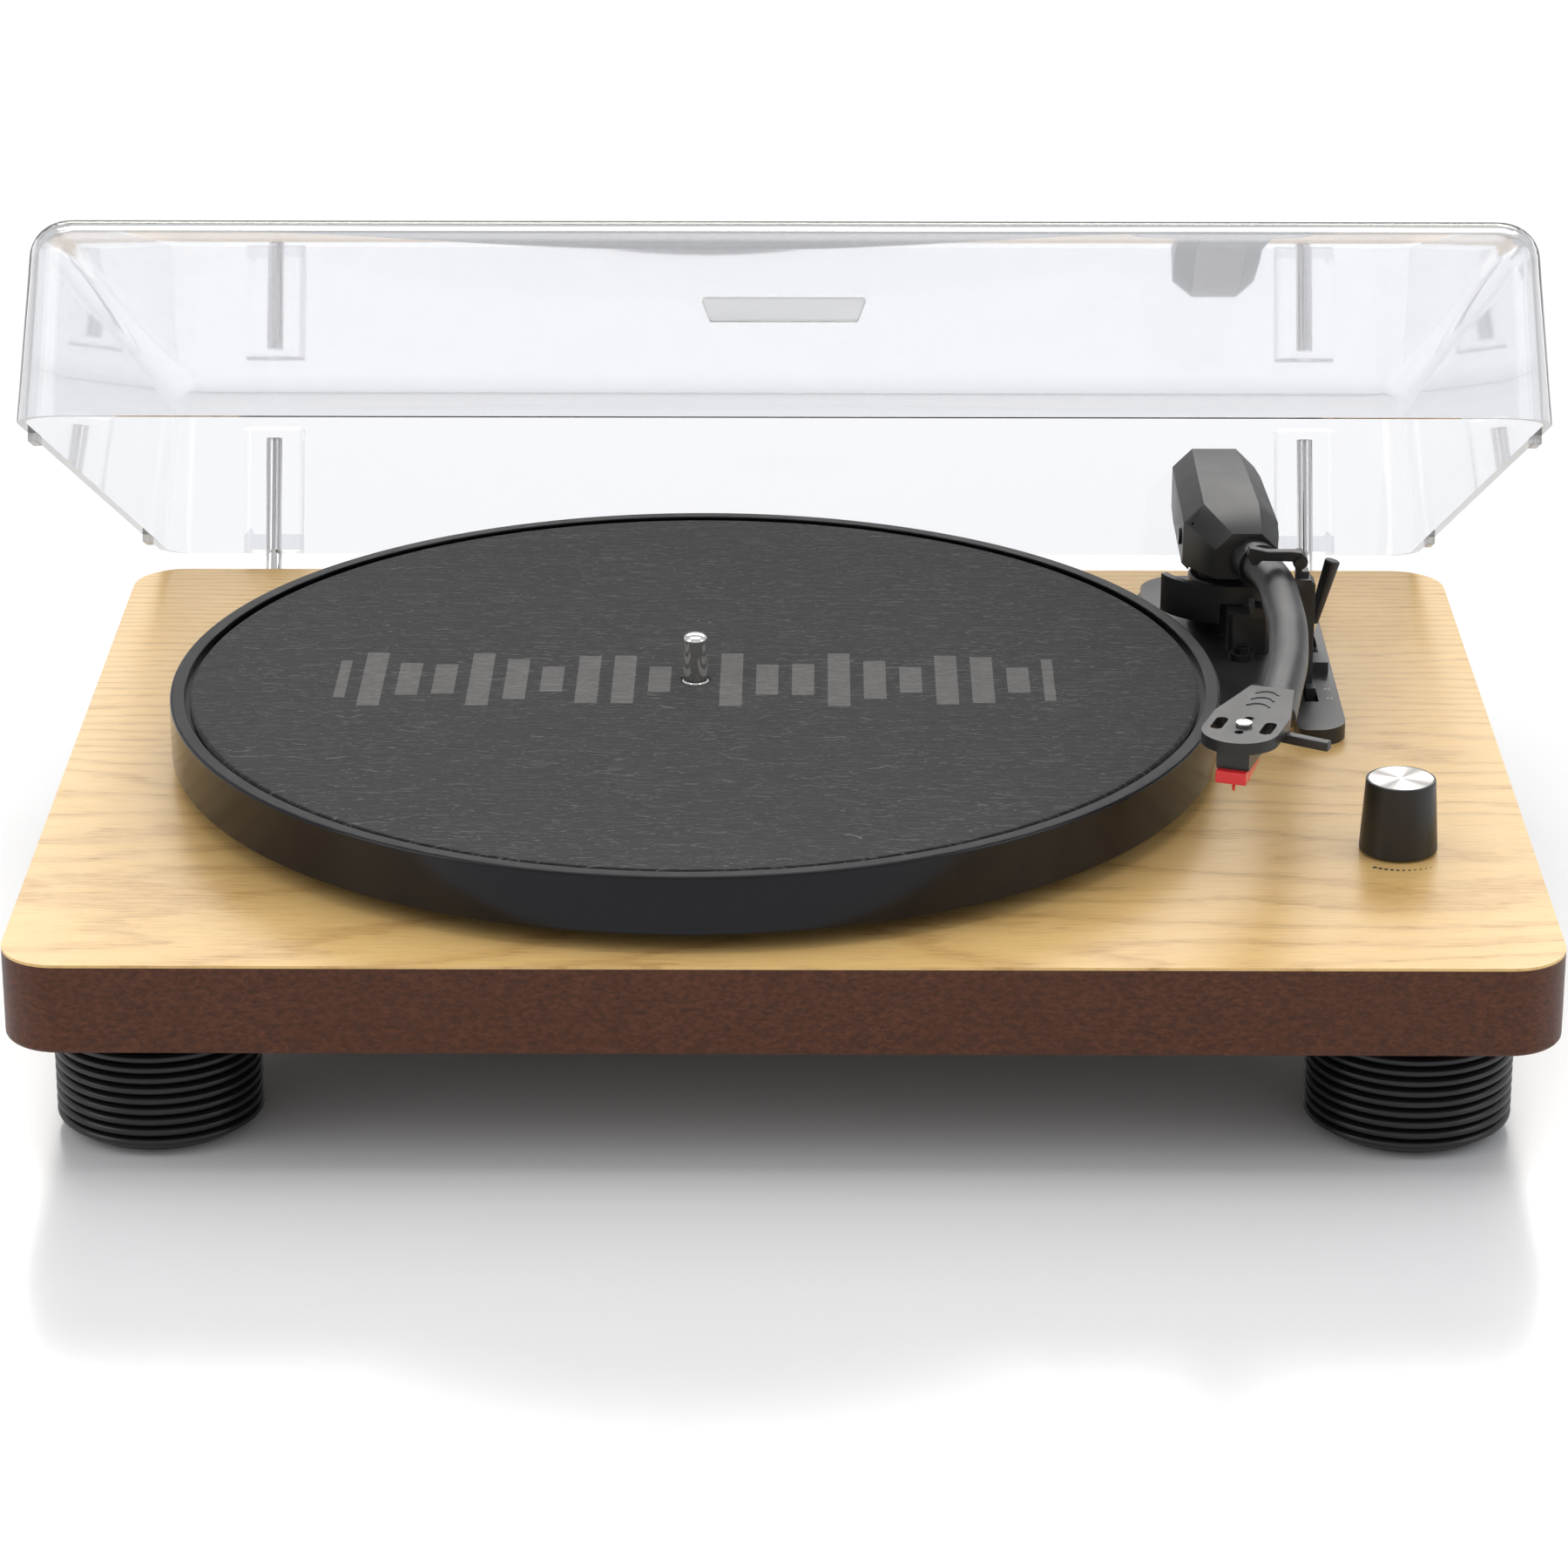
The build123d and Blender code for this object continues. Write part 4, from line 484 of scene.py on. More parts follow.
def white_print():
    return skinned("White print", (0.62, 0.62, 0.6), 0.6, rub=0.0)


def circuit_green():
    if "Circuit board" in bpy.data.materials:
        return bpy.data.materials["Circuit board"]
    finish, tree, shader = plain_finish("Circuit board", (0.01, 0.12, 0.045), 0.35, Coat_Weight=0.3)
    tracks = add_node(tree, "ShaderNodeTexBrick", {
        "Scale": 60.0, "Color1": (0.012, 0.15, 0.05, 1), "Color2": (0.01, 0.11, 0.04, 1),
        "Mortar": (0.03, 0.28, 0.09, 1), "Mortar Size": 0.03})
    join(tree, object_point(tree), tracks.inputs["Vector"])
    join(tree, tracks.outputs["Color"], shader.inputs["Base Color"])
    bump(tree, shader, tracks.outputs["Fac"], 0.03 * MM, 0.4)
    return finish


def clear_acrylic():
    """Clear moulded acrylic with the faintest haze, its roughness varying in soft patches."""
    if "Clear acrylic" in bpy.data.materials:
        return bpy.data.materials["Clear acrylic"]
    finish, tree, shader = plain_finish("Clear acrylic", tuple(colours().cover), 0.03,
                                        Transmission_Weight=1.0, IOR=1.4)
    haze = add_node(tree, "ShaderNodeTexNoise", {"Scale": 14.0, "Detail": 3.0})
    join(tree, object_point(tree), haze.inputs["Vector"])
    join(tree, math_node(tree, "MULTIPLY_ADD", haze.outputs["Fac"], 0.03, 0.01), shader.inputs["Roughness"])
    return finish


def frosted_acrylic():
    if "Frosted acrylic" in bpy.data.materials:
        return bpy.data.materials["Frosted acrylic"]
    finish, tree, shader = plain_finish("Frosted acrylic", (0.95, 0.955, 0.96), 0.4,
                                        Transmission_Weight=0.55, IOR=1.45)
    frost = add_node(tree, "ShaderNodeTexNoise", {"Scale": 1800.0, "Detail": 2.0})
    join(tree, object_point(tree), frost.inputs["Vector"])
    bump(tree, shader, frost.outputs["Fac"], 0.05 * MM, 0.6)
    return finish


def clear_rubber():
    if "Clear rubber" in bpy.data.materials:
        return bpy.data.materials["Clear rubber"]
    finish, tree, shader = plain_finish("Clear rubber", (0.85, 0.86, 0.87), 0.35,
                                        Transmission_Weight=0.7, IOR=1.4)
    dust = add_node(tree, "ShaderNodeTexNoise", {"Scale": 900.0, "Detail": 3.0})
    join(tree, object_point(tree), dust.inputs["Vector"])
    join(tree, math_node(tree, "MULTIPLY_ADD", dust.outputs["Fac"], 0.2, 0.25), shader.inputs["Roughness"])
    return finish


def spun_aluminium():
    """Facing marks in rings as a bump, and painted highlights and painted shade: bright and dark fans by
    angle round the centre, painted into the colour.
    """
    if "Spun aluminium" in bpy.data.materials:
        return bpy.data.materials["Spun aluminium"]
    low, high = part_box("knob_cap")
    middle = (low + high) / 2
    finish, tree, shader = plain_finish("Spun aluminium", (0.7, 0.7, 0.7), 0.3, 1.0)
    point = object_point(tree, location=(-middle.x, -middle.y, 0))
    place = tree.nodes.new("ShaderNodeSeparateXYZ")
    join(tree, point, place.inputs[0])
    angle = math_node(tree, "ARCTAN2", place.outputs["Y"], place.outputs["X"])
    # Painted highlight and painted shade: the base colour turns bright and dark in fans by angle round the
    # cap's centre, standing in for its reflection.
    painted_glint = math_node(tree, "SINE", math_node(tree, "MULTIPLY_ADD", angle, 4.0, 0.9))
    painted_glint = math_node(tree, "MULTIPLY_ADD", painted_glint, 0.5, 0.5)
    wobble = add_node(tree, "ShaderNodeTexNoise", {"Scale": 3.0, "Detail": 4.0, "Roughness": 0.8},
                      noise_dimensions="1D")
    join(tree, math_node(tree, "MULTIPLY", angle, 3.0), wobble.inputs["W"])
    even = math_node(tree, "MULTIPLY", painted_glint, 0.75)
    uneven = math_node(tree, "MULTIPLY", wobble.outputs["Fac"], 0.3)
    painted_glint = math_node(tree, "ADD", even, uneven)
    painted_glint_stops = ((0.1, (0.16, 0.155, 0.15)), (0.55, (0.5, 0.49, 0.48)), (0.95, (0.98, 0.97, 0.95)))
    join(tree, ramp(tree, painted_glint_stops, painted_glint), shader.inputs["Base Color"])
    flat = tree.nodes.new("ShaderNodeVectorMath")
    flat.operation = "MULTIPLY"
    join(tree, point, flat.inputs[0])
    flat.inputs[1].default_value = (1, 1, 0)
    reach = tree.nodes.new("ShaderNodeVectorMath")
    reach.operation = "LENGTH"
    join(tree, flat.outputs[0], reach.inputs[0])
    ring = math_node(tree, "SINE", math_node(tree, "MULTIPLY", reach.outputs["Value"], 26000.0))
    bump(tree, shader, ring, 0.004 * MM, 0.7)
    return finish


# ---------------------------------------------------------------- mesh helpers
def only(piece):
    """Selects one object and nothing else."""
    if bpy.context.object and bpy.context.object.mode != "OBJECT":
        bpy.ops.object.mode_set(mode="OBJECT")
    bpy.ops.object.select_all(action="DESELECT")
    piece.select_set(True)
    bpy.context.view_layer.objects.active = piece


def deselect():
    if bpy.context.object and bpy.context.object.mode != "OBJECT":
        bpy.ops.object.mode_set(mode="OBJECT")
    bpy.ops.object.select_all(action="DESELECT")


def bevelled(piece, width, segments=2, angle=35):
    """Bevels the piece's sharp edges and applies it."""
    only(piece)
    made = piece.modifiers.new("Edges", "BEVEL")
    made.width = width
    made.segments = segments
    made.limit_method = "ANGLE"
    made.angle_limit = math.radians(angle)
    made.use_clamp_overlap = True
    bpy.ops.object.modifier_apply(modifier=made.name)


def outward(piece):
    """Merges doubles and turns every face outwards."""
    only(piece)
    bpy.ops.object.mode_set(mode="EDIT")
    bpy.ops.mesh.select_all(action="SELECT")
    bpy.ops.mesh.remove_doubles(threshold=0.002 * MM)
    bpy.ops.mesh.normals_make_consistent(inside=False)
    bpy.ops.object.mode_set(mode="OBJECT")


def settled(piece, name, body, finish, nodes=(), slot=None, smooth=32):
    """Names a finished piece, smooths it, gives it its finish, and puts it on its body."""
    only(piece)
    bpy.ops.object.transform_apply(location=True, rotation=True, scale=True)
    if smooth:
        bpy.ops.object.shade_smooth_by_angle(angle=math.radians(smooth))
        flat = piece.modifiers.new("Flat faces", "WEIGHTED_NORMAL")
        flat.keep_sharp = True
        bpy.ops.object.modifier_apply(modifier=flat.name)
    piece.name = name
    piece.data.name = name
    piece.data.materials.clear()
    piece.data.materials.append(finish)
    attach(piece, body)
    if nodes:
        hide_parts(*nodes)
        slot = slot or slot_of(nodes[0])
    return piece


def slot_of(node):
    """The record's material slot of a CAD node."""
    return next(part["material_slot"] for part in frame["record"]["subparts"] if part["node"] == node)


def body_named(node):
    return frame["nodes"][node]["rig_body"]


def softened(node, finish, width=None, segments=2, smooth=32, weld=0.0015):
    """A CAD node's shape with its edges bevelled and its curves smooth."""
    source = frame["nodes"][node]
    piece = bpy.data.objects.new(node + "_finished", source.data.copy())
    bpy.context.scene.collection.objects.link(piece)
    only(piece)
    bpy.ops.object.mode_set(mode="EDIT")
    bpy.ops.mesh.select_all(action="SELECT")
    bpy.ops.mesh.remove_doubles(threshold=weld * MM)
    bpy.ops.mesh.dissolve_limited(angle_limit=math.radians(0.4))
    bpy.ops.mesh.select_all(action="DESELECT")
    bpy.ops.object.mode_set(mode="OBJECT")
    width = sizes().edge if width is None else width
    if width:
        bevelled(piece, width, segments)
    return settled(piece, node + "_finished", body_named(node), finish, [node], smooth=smooth)


def turned(rings, centre=(0.0, 0.0), sides=96, closed=False):
    """A turned piece: a circle carried from ring to ring, each a radius and a height."""
    x, y = centre
    deselect()
    radius, height = rings[0]
    bpy.ops.mesh.primitive_circle_add(
        vertices=sides, radius=radius, fill_type="NOTHING", location=(x, y, height))
    piece = bpy.context.object
    bpy.ops.object.transform_apply(location=True)
    bpy.ops.object.mode_set(mode="EDIT")
    bpy.ops.mesh.select_all(action="SELECT")
    for next_radius, next_height in list(rings[1:]) + ([rings[0]] if closed else []):
        bpy.ops.mesh.extrude_region_move(TRANSFORM_OT_translate={"value": (0, 0, next_height - height)})
        factor = next_radius / radius
        if abs(factor - 1) > 1e-9:
            bpy.ops.transform.resize(value=(factor, factor, 1), center_override=(x, y, next_height))
        radius, height = next_radius, next_height
    bpy.ops.mesh.select_all(action="SELECT")
    bpy.ops.mesh.remove_doubles(threshold=0.0005 * MM)
    if not closed:
        bpy.ops.mesh.fill_holes(sides=0)
    bpy.ops.mesh.normals_make_consistent(inside=False)
    bpy.ops.object.mode_set(mode="OBJECT")
    return piece


def joined(pieces):
    """Joins pieces into the first of them."""
    deselect()
    for piece in pieces:
        piece.select_set(True)
    bpy.context.view_layer.objects.active = pieces[0]
    bpy.ops.object.join()
    return bpy.context.object


def arc_points(radius, middle, first, last, steps):
    """Ring points round a quarter of a torus: middle is (radius, height), angles in degrees."""
    out = []
    for i in range(steps + 1):
        angle = math.radians(first + (last - first) * i / steps)
        out.append((middle[0] + radius * math.cos(angle), middle[1] + radius * math.sin(angle)))
    return out


# ---------------------------------------------------------------- operators
class PieceOperator:
    bl_options = {"REGISTER", "UNDO"}


class RECORDPLAYER_OT_plinth(PieceOperator, bpy.types.Operator):
    """Finishes the plinth, its veneer and the cover under it."""

    bl_idname = "record_player.plinth"
    bl_label = "Plinth"

    def execute(self, context):
        softened("plinth_body", stained_board(), sizes().plinth_edge, 3)
        softened("top_veneer", ash_veneer(), 0.22 * MM, 3)
        softened("bottom_cover", hardboard(), 0.3 * MM)
        softened("bottom_screws", black_steel(), 0.3 * MM)
        return {"FINISHED"}


class RECORDPLAYER_OT_feet(PieceOperator, bpy.types.Operator):
    """Turns the four ribbed feet and their soles."""

    bl_idname = "record_player.feet"
    bl_label = "Feet"

    def execute(self, context):
        low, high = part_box("feet")
        sole_low, sole_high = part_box("foot_pads")
        radius = 28.5 * MM
        core = radius - sizes().foot_rib_depth
        count = sizes().foot_ribs
        ribs_low, ribs_high = low.z + 1.5 * MM, high.z - 1.5 * MM
        pitch = (ribs_high - ribs_low) / count
        rings = [(7.0 * MM, low.z + 1.0 * MM), (8.5 * MM, low.z)]
        rings += [(core - 1.5 * MM, low.z), (core, ribs_low)]
        rib_shape = ((0.12, 0.55), (0.25, 0.9), (0.4, 1.0), (0.6, 1.0), (0.75, 0.9), (0.88, 0.55), (1.0, 0.0))
        for rib in range(count):
            for share, proud in rib_shape:
                rings.append((core + proud * (radius - core), ribs_low + (rib + share) * pitch))
        rings += [(core, high.z), (10 * MM, high.z)]
        across, along = (low.x + radius, high.x - radius), (low.y + radius, high.y - radius)
        spots = [(x, y) for x in across for y in along]
        feet = joined([turned(rings, spot, 96) for spot in spots])
        settled(feet, "ribbed_feet", "plinth", foot_black(), ["feet"], smooth=40)
        pad = (sole_high.x - sole_low.x - (high.x - low.x - 2 * radius)) / 2
        sole = [(4 * MM, sole_low.z), (pad - 1.0 * MM, sole_low.z), (pad, sole_low.z + 0.6 * MM)]
        sole += [(pad, sole_high.z), (4 * MM, sole_high.z)]
        soles = joined([turned(sole, spot, 64, closed=True) for spot in spots])
        settled(soles, "foot_soles", "plinth", rubber(), ["foot_pads"])
        softened("foot_screws", plated_steel(), 0.4 * MM)
        return {"FINISHED"}


class RECORDPLAYER_OT_platter(PieceOperator, bpy.types.Operator):
    """Turns the platter, with its bare ring, recess and drive ring."""

    bl_idname = "record_player.platter"
    bl_label = "Platter"

    def execute(self, context):
        low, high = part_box("platter")
        mat_low, mat_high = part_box("slipmat")
        radius, top = high.x, high.z
        bottom = top - sizes().platter_depth
        inner = radius - sizes().rim_ring
        recess, plate = mat_low.z, mat_low.z - 3.5 * MM
        bore, hub, drive_low = 4.05 * MM, 14 * MM, bottom + 1 * MM
        drive_inner, drive_outer, wall_inner = 86.5 * MM, 90 * MM, inner - 1.5 * MM
        rings = [(bore, low.z), (hub, low.z), (hub, plate), (drive_inner, plate), (drive_inner, drive_low)]
        rings += [(drive_outer, drive_low), (drive_outer, plate), (wall_inner, plate), (wall_inner, bottom)]
        rings += arc_points(1.0 * MM, (radius - 1.0 * MM, bottom + 1.0 * MM), -90, 0, 5)
        rings += arc_points(0.9 * MM, (radius - 0.9 * MM, top - 0.9 * MM), 0, 90, 6)
        rings += arc_points(0.4 * MM, (inner + 0.4 * MM, top - 0.4 * MM), 90, 180, 3)
        rings += [(inner, recess), (bore, recess)]
        piece = turned(rings, (0, 0), 256, closed=True)
        settled(piece, "platter_turned", "platter", gloss_black(), ["platter"], smooth=30)
        return {"FINISHED"}


class RECORDPLAYER_OT_mat(PieceOperator, bpy.types.Operator):
    """Cuts the felt mat that lies in the platter."""

    bl_idname = "record_player.mat"
    bl_label = "Felt mat"

    def execute(self, context):
        low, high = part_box("slipmat")
        radius, thick = high.x, high.z - low.z
        soft = 0.45 * thick
        hole = 4.3 * MM
        rings = [(hole, low.z), (radius - 0.5 * MM, low.z)]
        rings += arc_points(soft, (radius - soft, high.z - soft), 0, 90, 5)
        rings += [(radius * share, high.z) for share in (0.9, 0.75, 0.55, 0.35, 0.15)]
        rings += [(4.9 * MM, high.z), (hole, high.z - 0.5 * MM)]
        piece = turned(rings, (0, 0), 192, closed=True)
        settled(piece, "felt_mat", "platter", felt(), ["slipmat"], smooth=40)
        return {"FINISHED"}


class RECORDPLAYER_OT_spindle(PieceOperator, bpy.types.Operator):
    """Turns the spindle with its rounded tip and collar."""

    bl_idname = "record_player.spindle"
    bl_label = "Spindle"

    def execute(self, context):
        low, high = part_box("spindle")
        shaft, collar, pin = 3.0 * MM, 4.0 * MM, 3.55 * MM
        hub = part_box("platter")[0].z
        rings = [(1.0 * MM, low.z), (shaft - 0.3 * MM, low.z), (shaft, low.z + 0.3 * MM)]
        rings += [(shaft, hub), (collar, hub)]
        rings += [(collar, -0.3 * MM), (collar - 0.3 * MM, 0), (pin + 0.05 * MM, 0), (pin, 0.05 * MM)]
        dome = 1.9 * MM
        rings += [(pin, high.z - dome)]
        for angle in map(math.radians, (12, 26, 40, 55, 70)):
            rings.append((pin * math.cos(angle) ** 0.8, high.z - dome + dome * math.sin(angle)))
        rings += [(0.5 * MM, high.z)]
        piece = turned(rings, (0, 0), 48)
        settled(piece, "spindle_turned", "platter", chrome(), ["spindle"])
        return {"FINISHED"}


class RECORDPLAYER_OT_knob(PieceOperator, bpy.types.Operator):
    """Turns the volume knob and its spun cap, and prints the dots round it."""

    bl_idname = "record_player.knob"
    bl_label = "Volume knob"

    def execute(self, context):
        low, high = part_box("knob_body")
        cap_low, cap_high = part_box("knob_cap")
        centre = ((low.x + high.x) / 2, (low.y + high.y) / 2)
        foot_r, cap_r = (high.x - low.x) / 2, (cap_high.x - cap_low.x) / 2
        top_r, thick = cap_r + 0.6 * MM, sizes().knob_cap
        rings = [(3.0 * MM, high.z - 15 * MM), (5.0 * MM, high.z - 15 * MM), (5.0 * MM, high.z - 7 * MM)]
        rings += [(top_r - 1.6 * MM, high.z - 7 * MM), (foot_r - 1.8 * MM, low.z)]
        rings += arc_points(0.5 * MM, (foot_r - 0.5 * MM, low.z + 0.5 * MM), -90, 0, 4)
        rings += arc_points(0.5 * MM, (top_r - 0.5 * MM, high.z - 0.5 * MM), 0, 80, 5)
        rings += [(cap_r + 0.02 * MM, high.z - 0.02 * MM), (cap_r + 0.02 * MM, high.z - thick)]
        rings += [(3.0 * MM, high.z - thick)]
        body = turned(rings, centre, 96, closed=True)
        settled(body, "knob_turned", "volume_knob", satin_black(), ["knob_body"])
        cap_rings = [(0.2 * MM, high.z - thick), (cap_r, high.z - thick), (cap_r, high.z - 0.25 * MM)]
        cap_rings += [(cap_r - 0.25 * MM, high.z), (0.6 * cap_r, high.z), (0.3 * cap_r, high.z)]
        cap = turned(cap_rings + [(0.2 * MM, high.z)], centre, 96)
        settled(cap, "knob_cap_spun", "volume_knob", spun_aluminium(), ["knob_cap"])
        softened("pot_shaft", plated_steel(), 0.2 * MM)
        softened("pot_nut", plated_steel(), 0.25 * MM)
        softened("potentiometer", dull_black(), 0.3 * MM)
        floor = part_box("top_veneer")[1].z
        dots = []
        count = 11
        for i in range(count):
            angle = math.radians(-60 - 60.0 * i / (count - 1))
            reach = sizes().dial_radius
            place = (centre[0] + reach * math.cos(angle), centre[1] + reach * math.sin(angle))
            size = (0.25 + 0.045 * i) * MM
            dot = [(0.6 * size, floor), (size, floor), (size, floor + 0.03 * MM)]
            dots.append(turned(dot + [(0.6 * size, floor + 0.04 * MM)], place, 20))
        settled(joined(dots), "volume_dots", "plinth", dull_black(), slot="inner_plastic")
        return {"FINISHED"}


class RECORDPLAYER_OT_arm_base(PieceOperator, bpy.types.Operator):
    """Finishes the tonearm's base, post and yoke, and prints the speed numbers."""

    bl_idname = "record_player.arm_base"
    bl_label = "Tonearm base"

    def execute(self, context):
        softened("arm_base", satin_black(), 0.5 * MM, 3)
        softened("pivot_post", plated_steel(), 0.3 * MM)
        softened("gimbal_yoke", dull_black(), 0.5 * MM)
        softened("pivot_screws", black_steel(), 0.25 * MM)
        softened("speed_slider", satin_black(), 0.3 * MM)
        low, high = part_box("speed_slider")
        wing_height = 5.0 * MM
        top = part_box("top_veneer")[1].z + wing_height
        marks = []
        for text, offset in (("33", -4.0), ("45", 4.0)):
            deselect()
            y = (low.y + high.y) / 2 + (offset - 1.0) * MM
            bpy.ops.object.text_add(location=(high.x + 0.7 * MM, y, top))
            label = bpy.context.object
            label.data.body = text
            label.data.size = 2.4 * MM
            label.data.extrude = 0.03 * MM
            bpy.ops.object.convert(target="MESH")
            bpy.ops.object.transform_apply(location=True)
            marks.append(bpy.context.object)
        numbers = joined(marks)
        settled(numbers, "speed_numbers", "plinth", white_print(), slot="frosted", smooth=None)
        return {"FINISHED"}


class RECORDPLAYER_OT_cueing(PieceOperator, bpy.types.Operator):
    """Finishes the cueing lift, its block and screw, and the lever."""

    bl_idname = "record_player.cueing"
    bl_label = "Cueing lift"

    def execute(self, context):
        softened("lift_arc", satin_black(), 0.3 * MM)
        softened("lift_block", satin_black(), 0.5 * MM, 3)
        softened("block_screw", black_steel(), 0.2 * MM)
        softened("cue_lever", chrome(), 0.15 * MM)
        softened("lever_grip", satin_black(), 0.2 * MM)
        return {"FINISHED"}


class RECORDPLAYER_OT_rest(PieceOperator, bpy.types.Operator):
    """Finishes the arm rest and its clip."""

    bl_idname = "record_player.rest"
    bl_label = "Arm rest"

    def execute(self, context):
        softened("arm_rest", satin_black(), 0.35 * MM, 3)
        softened("rest_clip", satin_black(), 0.4 * MM, 3)
        return {"FINISHED"}


class RECORDPLAYER_OT_arm(PieceOperator, bpy.types.Operator):
    """Finishes the tonearm's housing, counterweight and tube."""

    bl_idname = "record_player.arm"
    bl_label = "Tonearm"

    def execute(self, context):
        softened("arm_housing", arm_black(), 0.7 * MM, 3, smooth=24)
        softened("counterweight", ferrite(), 0.5 * MM)
        softened("arm_tube", arm_black(), 0.2 * MM, smooth=40)
        return {"FINISHED"}


class RECORDPLAYER_OT_headshell(PieceOperator, bpy.types.Operator):
    """Finishes the headshell, its screw and finger lift, and the cartridge."""

    bl_idname = "record_player.headshell"
    bl_label = "Headshell and cartridge"

    def execute(self, context):
        softened("headshell", arm_black(), 0.4 * MM, 3)
        softened("headshell_screw", chrome(), 0.25 * MM)
        softened("finger_lift", arm_black(), 0.4 * MM, 3)
        softened("cartridge_body", satin_black(), 0.35 * MM)
        softened("stylus_holder", red_plastic(), 0.3 * MM)
        softened("cantilever", red_plastic(), 0.05 * MM)
        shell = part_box("headshell")
        turn = math.radians(SHELL_TURN)
        along = Vector((-math.sin(turn), -math.cos(turn), 0))
        root = Vector((*SHELL_ROOT, shell[1].z))
        ridges = []
        for reach in (7.0, 12.0, 17.0):
            deselect()
            spot = root + along * reach * MM
            bpy.ops.mesh.primitive_torus_add(
                major_radius=3.2 * MM, minor_radius=0.42 * MM, major_segments=40, minor_segments=10)
            ridge = bpy.context.object
            bpy.ops.object.mode_set(mode="EDIT")
            bpy.ops.mesh.select_all(action="SELECT")
            bpy.ops.mesh.bisect(
                plane_co=(0, 0.9 * MM, 0), plane_no=(0, 1, 0), use_fill=True, clear_inner=True)
            bpy.ops.mesh.select_all(action="SELECT")
            bpy.ops.transform.resize(value=(1.0, 1.0, 0.7), center_override=(0, 0, 0))
            bpy.ops.object.mode_set(mode="OBJECT")
            ridge.rotation_euler = (0, 0, -turn)
            ridge.location = spot
            bpy.ops.object.transform_apply(location=True, rotation=True)
            ridges.append(ridge)
        piece = joined(ridges)
        outward(piece)
        settled(piece, "headshell_ridges", "tonearm", arm_black(), slot="arm_black", smooth=60)
        return {"FINISHED"}


class RECORDPLAYER_OT_drive(PieceOperator, bpy.types.Operator):
    """Finishes the bearing, motor, pulley and belt."""

    bl_idname = "record_player.drive"
    bl_label = "Drive"

    def execute(self, context):
        softened("bearing_housing", gilt(), 0.3 * MM)
        softened("motor_can", plated_steel(), 0.3 * MM)
        softened("motor_plate", plated_steel(), 0.2 * MM)
        softened("motor_shaft", plated_steel(), 0.1 * MM)
        softened("motor_pulley", gilt(), 0.15 * MM)
        softened("drive_belt", rubber(), 0.1 * MM)
        softened("deck_screws", plated_steel(), 0.2 * MM)
        return {"FINISHED"}


class RECORDPLAYER_OT_rear(PieceOperator, bpy.types.Operator):
    """Finishes the rear panel, its sockets and the power switch."""

    bl_idname = "record_player.rear"
    bl_label = "Rear panel"

    def execute(self, context):
        softened("rear_panel", dull_black(), 0.4 * MM, 3)
        softened("rca_jacks", gilt(), 0.3 * MM)
        softened("dc_inlet", satin_black(), 0.2 * MM)
        softened("power_switch", satin_black(), 0.3 * MM)
        softened("power_rocker", satin_black(), 0.25 * MM)
        softened("small_screws", plated_steel(), 0.2 * MM)
        return {"FINISHED"}


class RECORDPLAYER_OT_electronics(PieceOperator, bpy.types.Operator):
    """Finishes the circuit board and the speakers."""

    bl_idname = "record_player.electronics"
    bl_label = "Circuit board and speakers"

    def execute(self, context):
        softened("main_board", circuit_green(), 0.1 * MM)
        softened("board_parts", dull_black(), 0.3 * MM)
        softened("board_posts", gilt(), 0.2 * MM)
        softened("speaker_frames", black_steel(), 0.2 * MM)
        softened("speaker_cones", paper_cone(), 0.0)
        softened("speaker_magnets", ferrite(), 0.4 * MM)
        return {"FINISHED"}


class RECORDPLAYER_OT_cover(PieceOperator, bpy.types.Operator):
    """Finishes the clear cover, its grip, bumpers and hinges."""

    bl_idname = "record_player.cover"
    bl_label = "Dust cover"

    def execute(self, context):
        softened("dust_cover", clear_acrylic(), 0.25 * MM, 2, smooth=30)
        softened("cover_grip", frosted_acrylic(), 0.5 * MM, 3)
        softened("cover_bumpers", clear_rubber(), 0.4 * MM)
        softened("hinge_rods", chrome(), 0.2 * MM)
        softened("hinge_bases", satin_black(), 0.4 * MM)
        return {"FINISHED"}


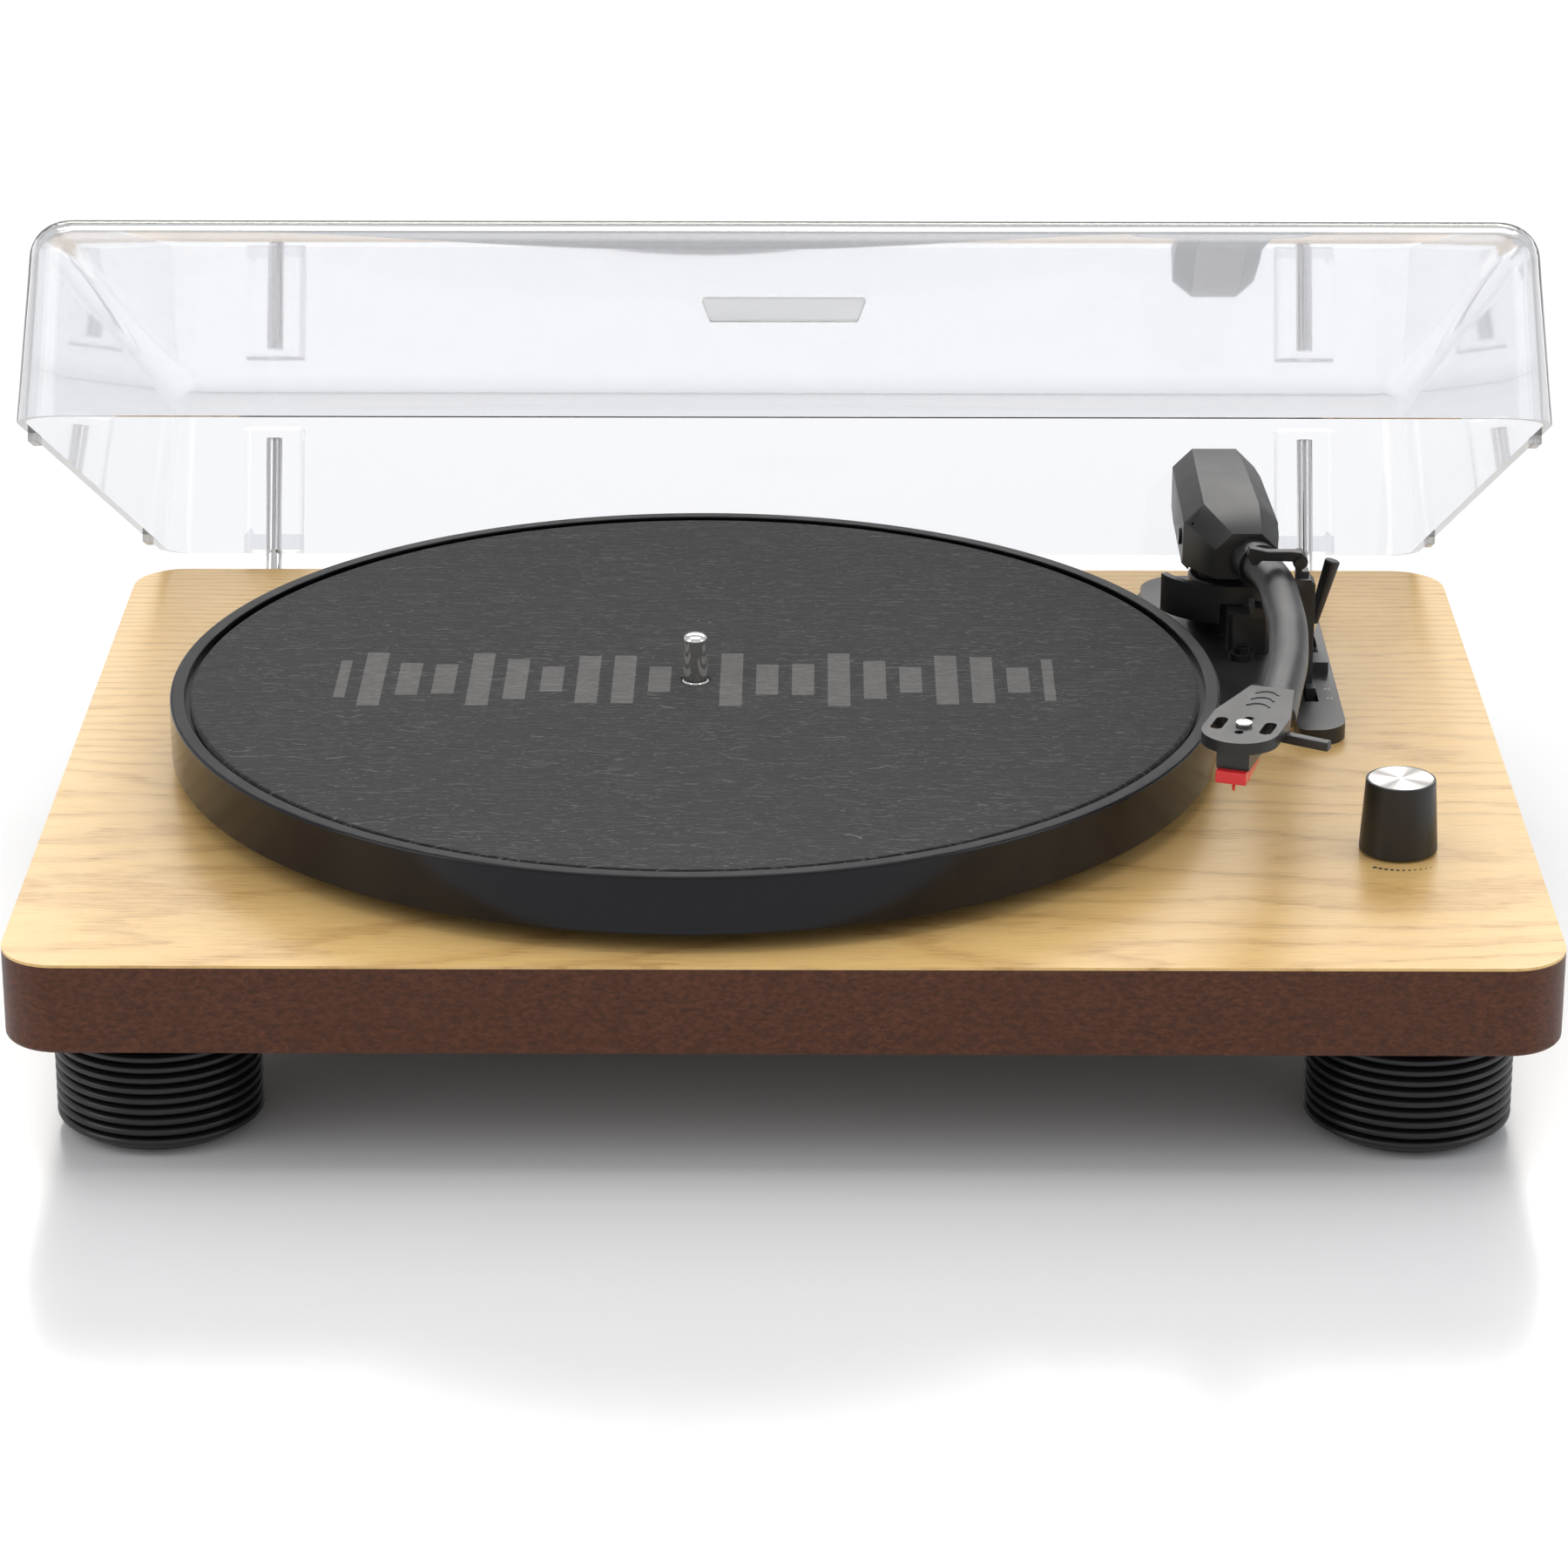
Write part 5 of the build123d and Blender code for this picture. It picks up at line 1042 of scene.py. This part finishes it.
class RECORDPLAYER_OT_stage(PieceOperator, bpy.types.Operator):
    """Lays the pale floor, and sets the studio lights and the camera."""

    bl_idname = "record_player.stage"
    bl_label = "Studio"

    def execute(self, context):
        deselect()
        floor_z = CAD_LOW.z - 0.05 * MM
        bpy.ops.mesh.primitive_plane_add(size=14.0, location=(0, 2.0, floor_z))
        floor = bpy.context.object
        floor.name = "studio_floor"
        finish, tree, shader = plain_finish("Studio floor", tuple(colours().floor), 0.22,
                                            Specular_IOR_Level=0.6)
        grain = add_node(tree, "ShaderNodeTexNoise", {"Scale": 3.0, "Detail": 2.0})
        join(tree, object_point(tree), grain.inputs["Vector"])
        rough = math_node(tree, "MULTIPLY_ADD", grain.outputs["Fac"], 0.03, 0.2)
        join(tree, rough, shader.inputs["Roughness"])
        floor.data.materials.append(finish)
        scene = context.scene
        world = bpy.data.worlds.new("Studio")
        scene.world = world
        world.use_nodes = True
        sky = world.node_tree.nodes["Background"]
        sky.inputs["Color"].default_value = (1.0, 1.0, 1.0, 1)
        sky.inputs["Strength"].default_value = 0.68
        lamps = (
            ("ceiling_light", (0.0, 0.1, 1.5), (0, 0, 0), (1.6, 1.0), 11.0, (1.0, 0.985, 0.96)),
            ("left_light", (-1.5, -0.7, 0.9), (0, 0, 0.0), (0.9, 1.2), 6.0, (1.0, 0.99, 0.97)),
            ("right_light", (1.4, -0.5, 0.7), (0, 0, 0.0), (0.7, 1.0), 3.0, (0.97, 0.985, 1.0)),
            ("rear_light", (0.1, 1.5, 0.9), (0, 0, 0.05), (1.8, 0.5), 16.0, (1.0, 0.97, 0.92)),
        )
        for name, place, aim, extent, power, tint in lamps:
            deselect()
            bpy.ops.object.light_add(type="AREA", location=place)
            lamp = bpy.context.object
            lamp.name = name
            lamp.data.shape = "RECTANGLE"
            lamp.data.size, lamp.data.size_y = extent
            lamp.data.energy = power
            lamp.data.color = tint
            lamp.rotation_euler = (Vector(aim) - Vector(place)).to_track_quat("-Z", "Y").to_euler()
        deselect()
        bpy.ops.object.camera_add(location=(34.36 * MM, -1424.4 * MM, 525.9 * MM))
        camera = bpy.context.object
        camera.name = "front_camera"
        camera.data.lens = 118.96
        camera.data.sensor_width = 36.0
        camera.data.clip_end = 50.0
        camera.rotation_euler = (math.radians(90 - 21.42), 0, math.radians(0.34))
        scene.camera = camera
        scene.view_settings.view_transform = "Standard"
        return {"FINISHED"}


# ---------------------------------------------------------------- panel and registration
OPERATORS = (
    RECORDPLAYER_OT_plinth, RECORDPLAYER_OT_feet, RECORDPLAYER_OT_platter, RECORDPLAYER_OT_mat,
    RECORDPLAYER_OT_spindle, RECORDPLAYER_OT_knob, RECORDPLAYER_OT_arm_base, RECORDPLAYER_OT_cueing,
    RECORDPLAYER_OT_rest, RECORDPLAYER_OT_arm, RECORDPLAYER_OT_headshell, RECORDPLAYER_OT_drive,
    RECORDPLAYER_OT_rear, RECORDPLAYER_OT_electronics, RECORDPLAYER_OT_cover, RECORDPLAYER_OT_stage,
)


class RECORDPLAYER_PT_sidebar(bpy.types.Panel):
    """Lists the pieces, with their sizes and colours."""

    bl_label = "Record Player"
    bl_idname = "RECORDPLAYER_PT_sidebar"
    bl_space_type = "VIEW_3D"
    bl_region_type = "UI"
    bl_category = "Record Player"

    def draw(self, context):
        layout = self.layout
        for settings in (context.scene.record_player_sizes, context.scene.record_player_colours):
            box = layout.box()
            for name in settings.__annotations__:
                box.prop(settings, name)
        for operator in OPERATORS:
            layout.operator(operator.bl_idname)


CLASSES = (RecordPlayerSizes, RecordPlayerColours, *OPERATORS, RECORDPLAYER_PT_sidebar)


def register():
    for cls in CLASSES:
        bpy.utils.register_class(cls)
    bpy.types.Scene.record_player_sizes = bpy.props.PointerProperty(type=RecordPlayerSizes)
    bpy.types.Scene.record_player_colours = bpy.props.PointerProperty(type=RecordPlayerColours)


def unregister():
    del bpy.types.Scene.record_player_colours
    del bpy.types.Scene.record_player_sizes
    for cls in reversed(CLASSES):
        bpy.utils.unregister_class(cls)


def main():
    """Registers the add-on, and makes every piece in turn."""
    register()
    for operator in OPERATORS:
        group, name = operator.bl_idname.split(".")
        getattr(getattr(bpy.ops, group), name)()


if __name__ == "__main__":
    main()
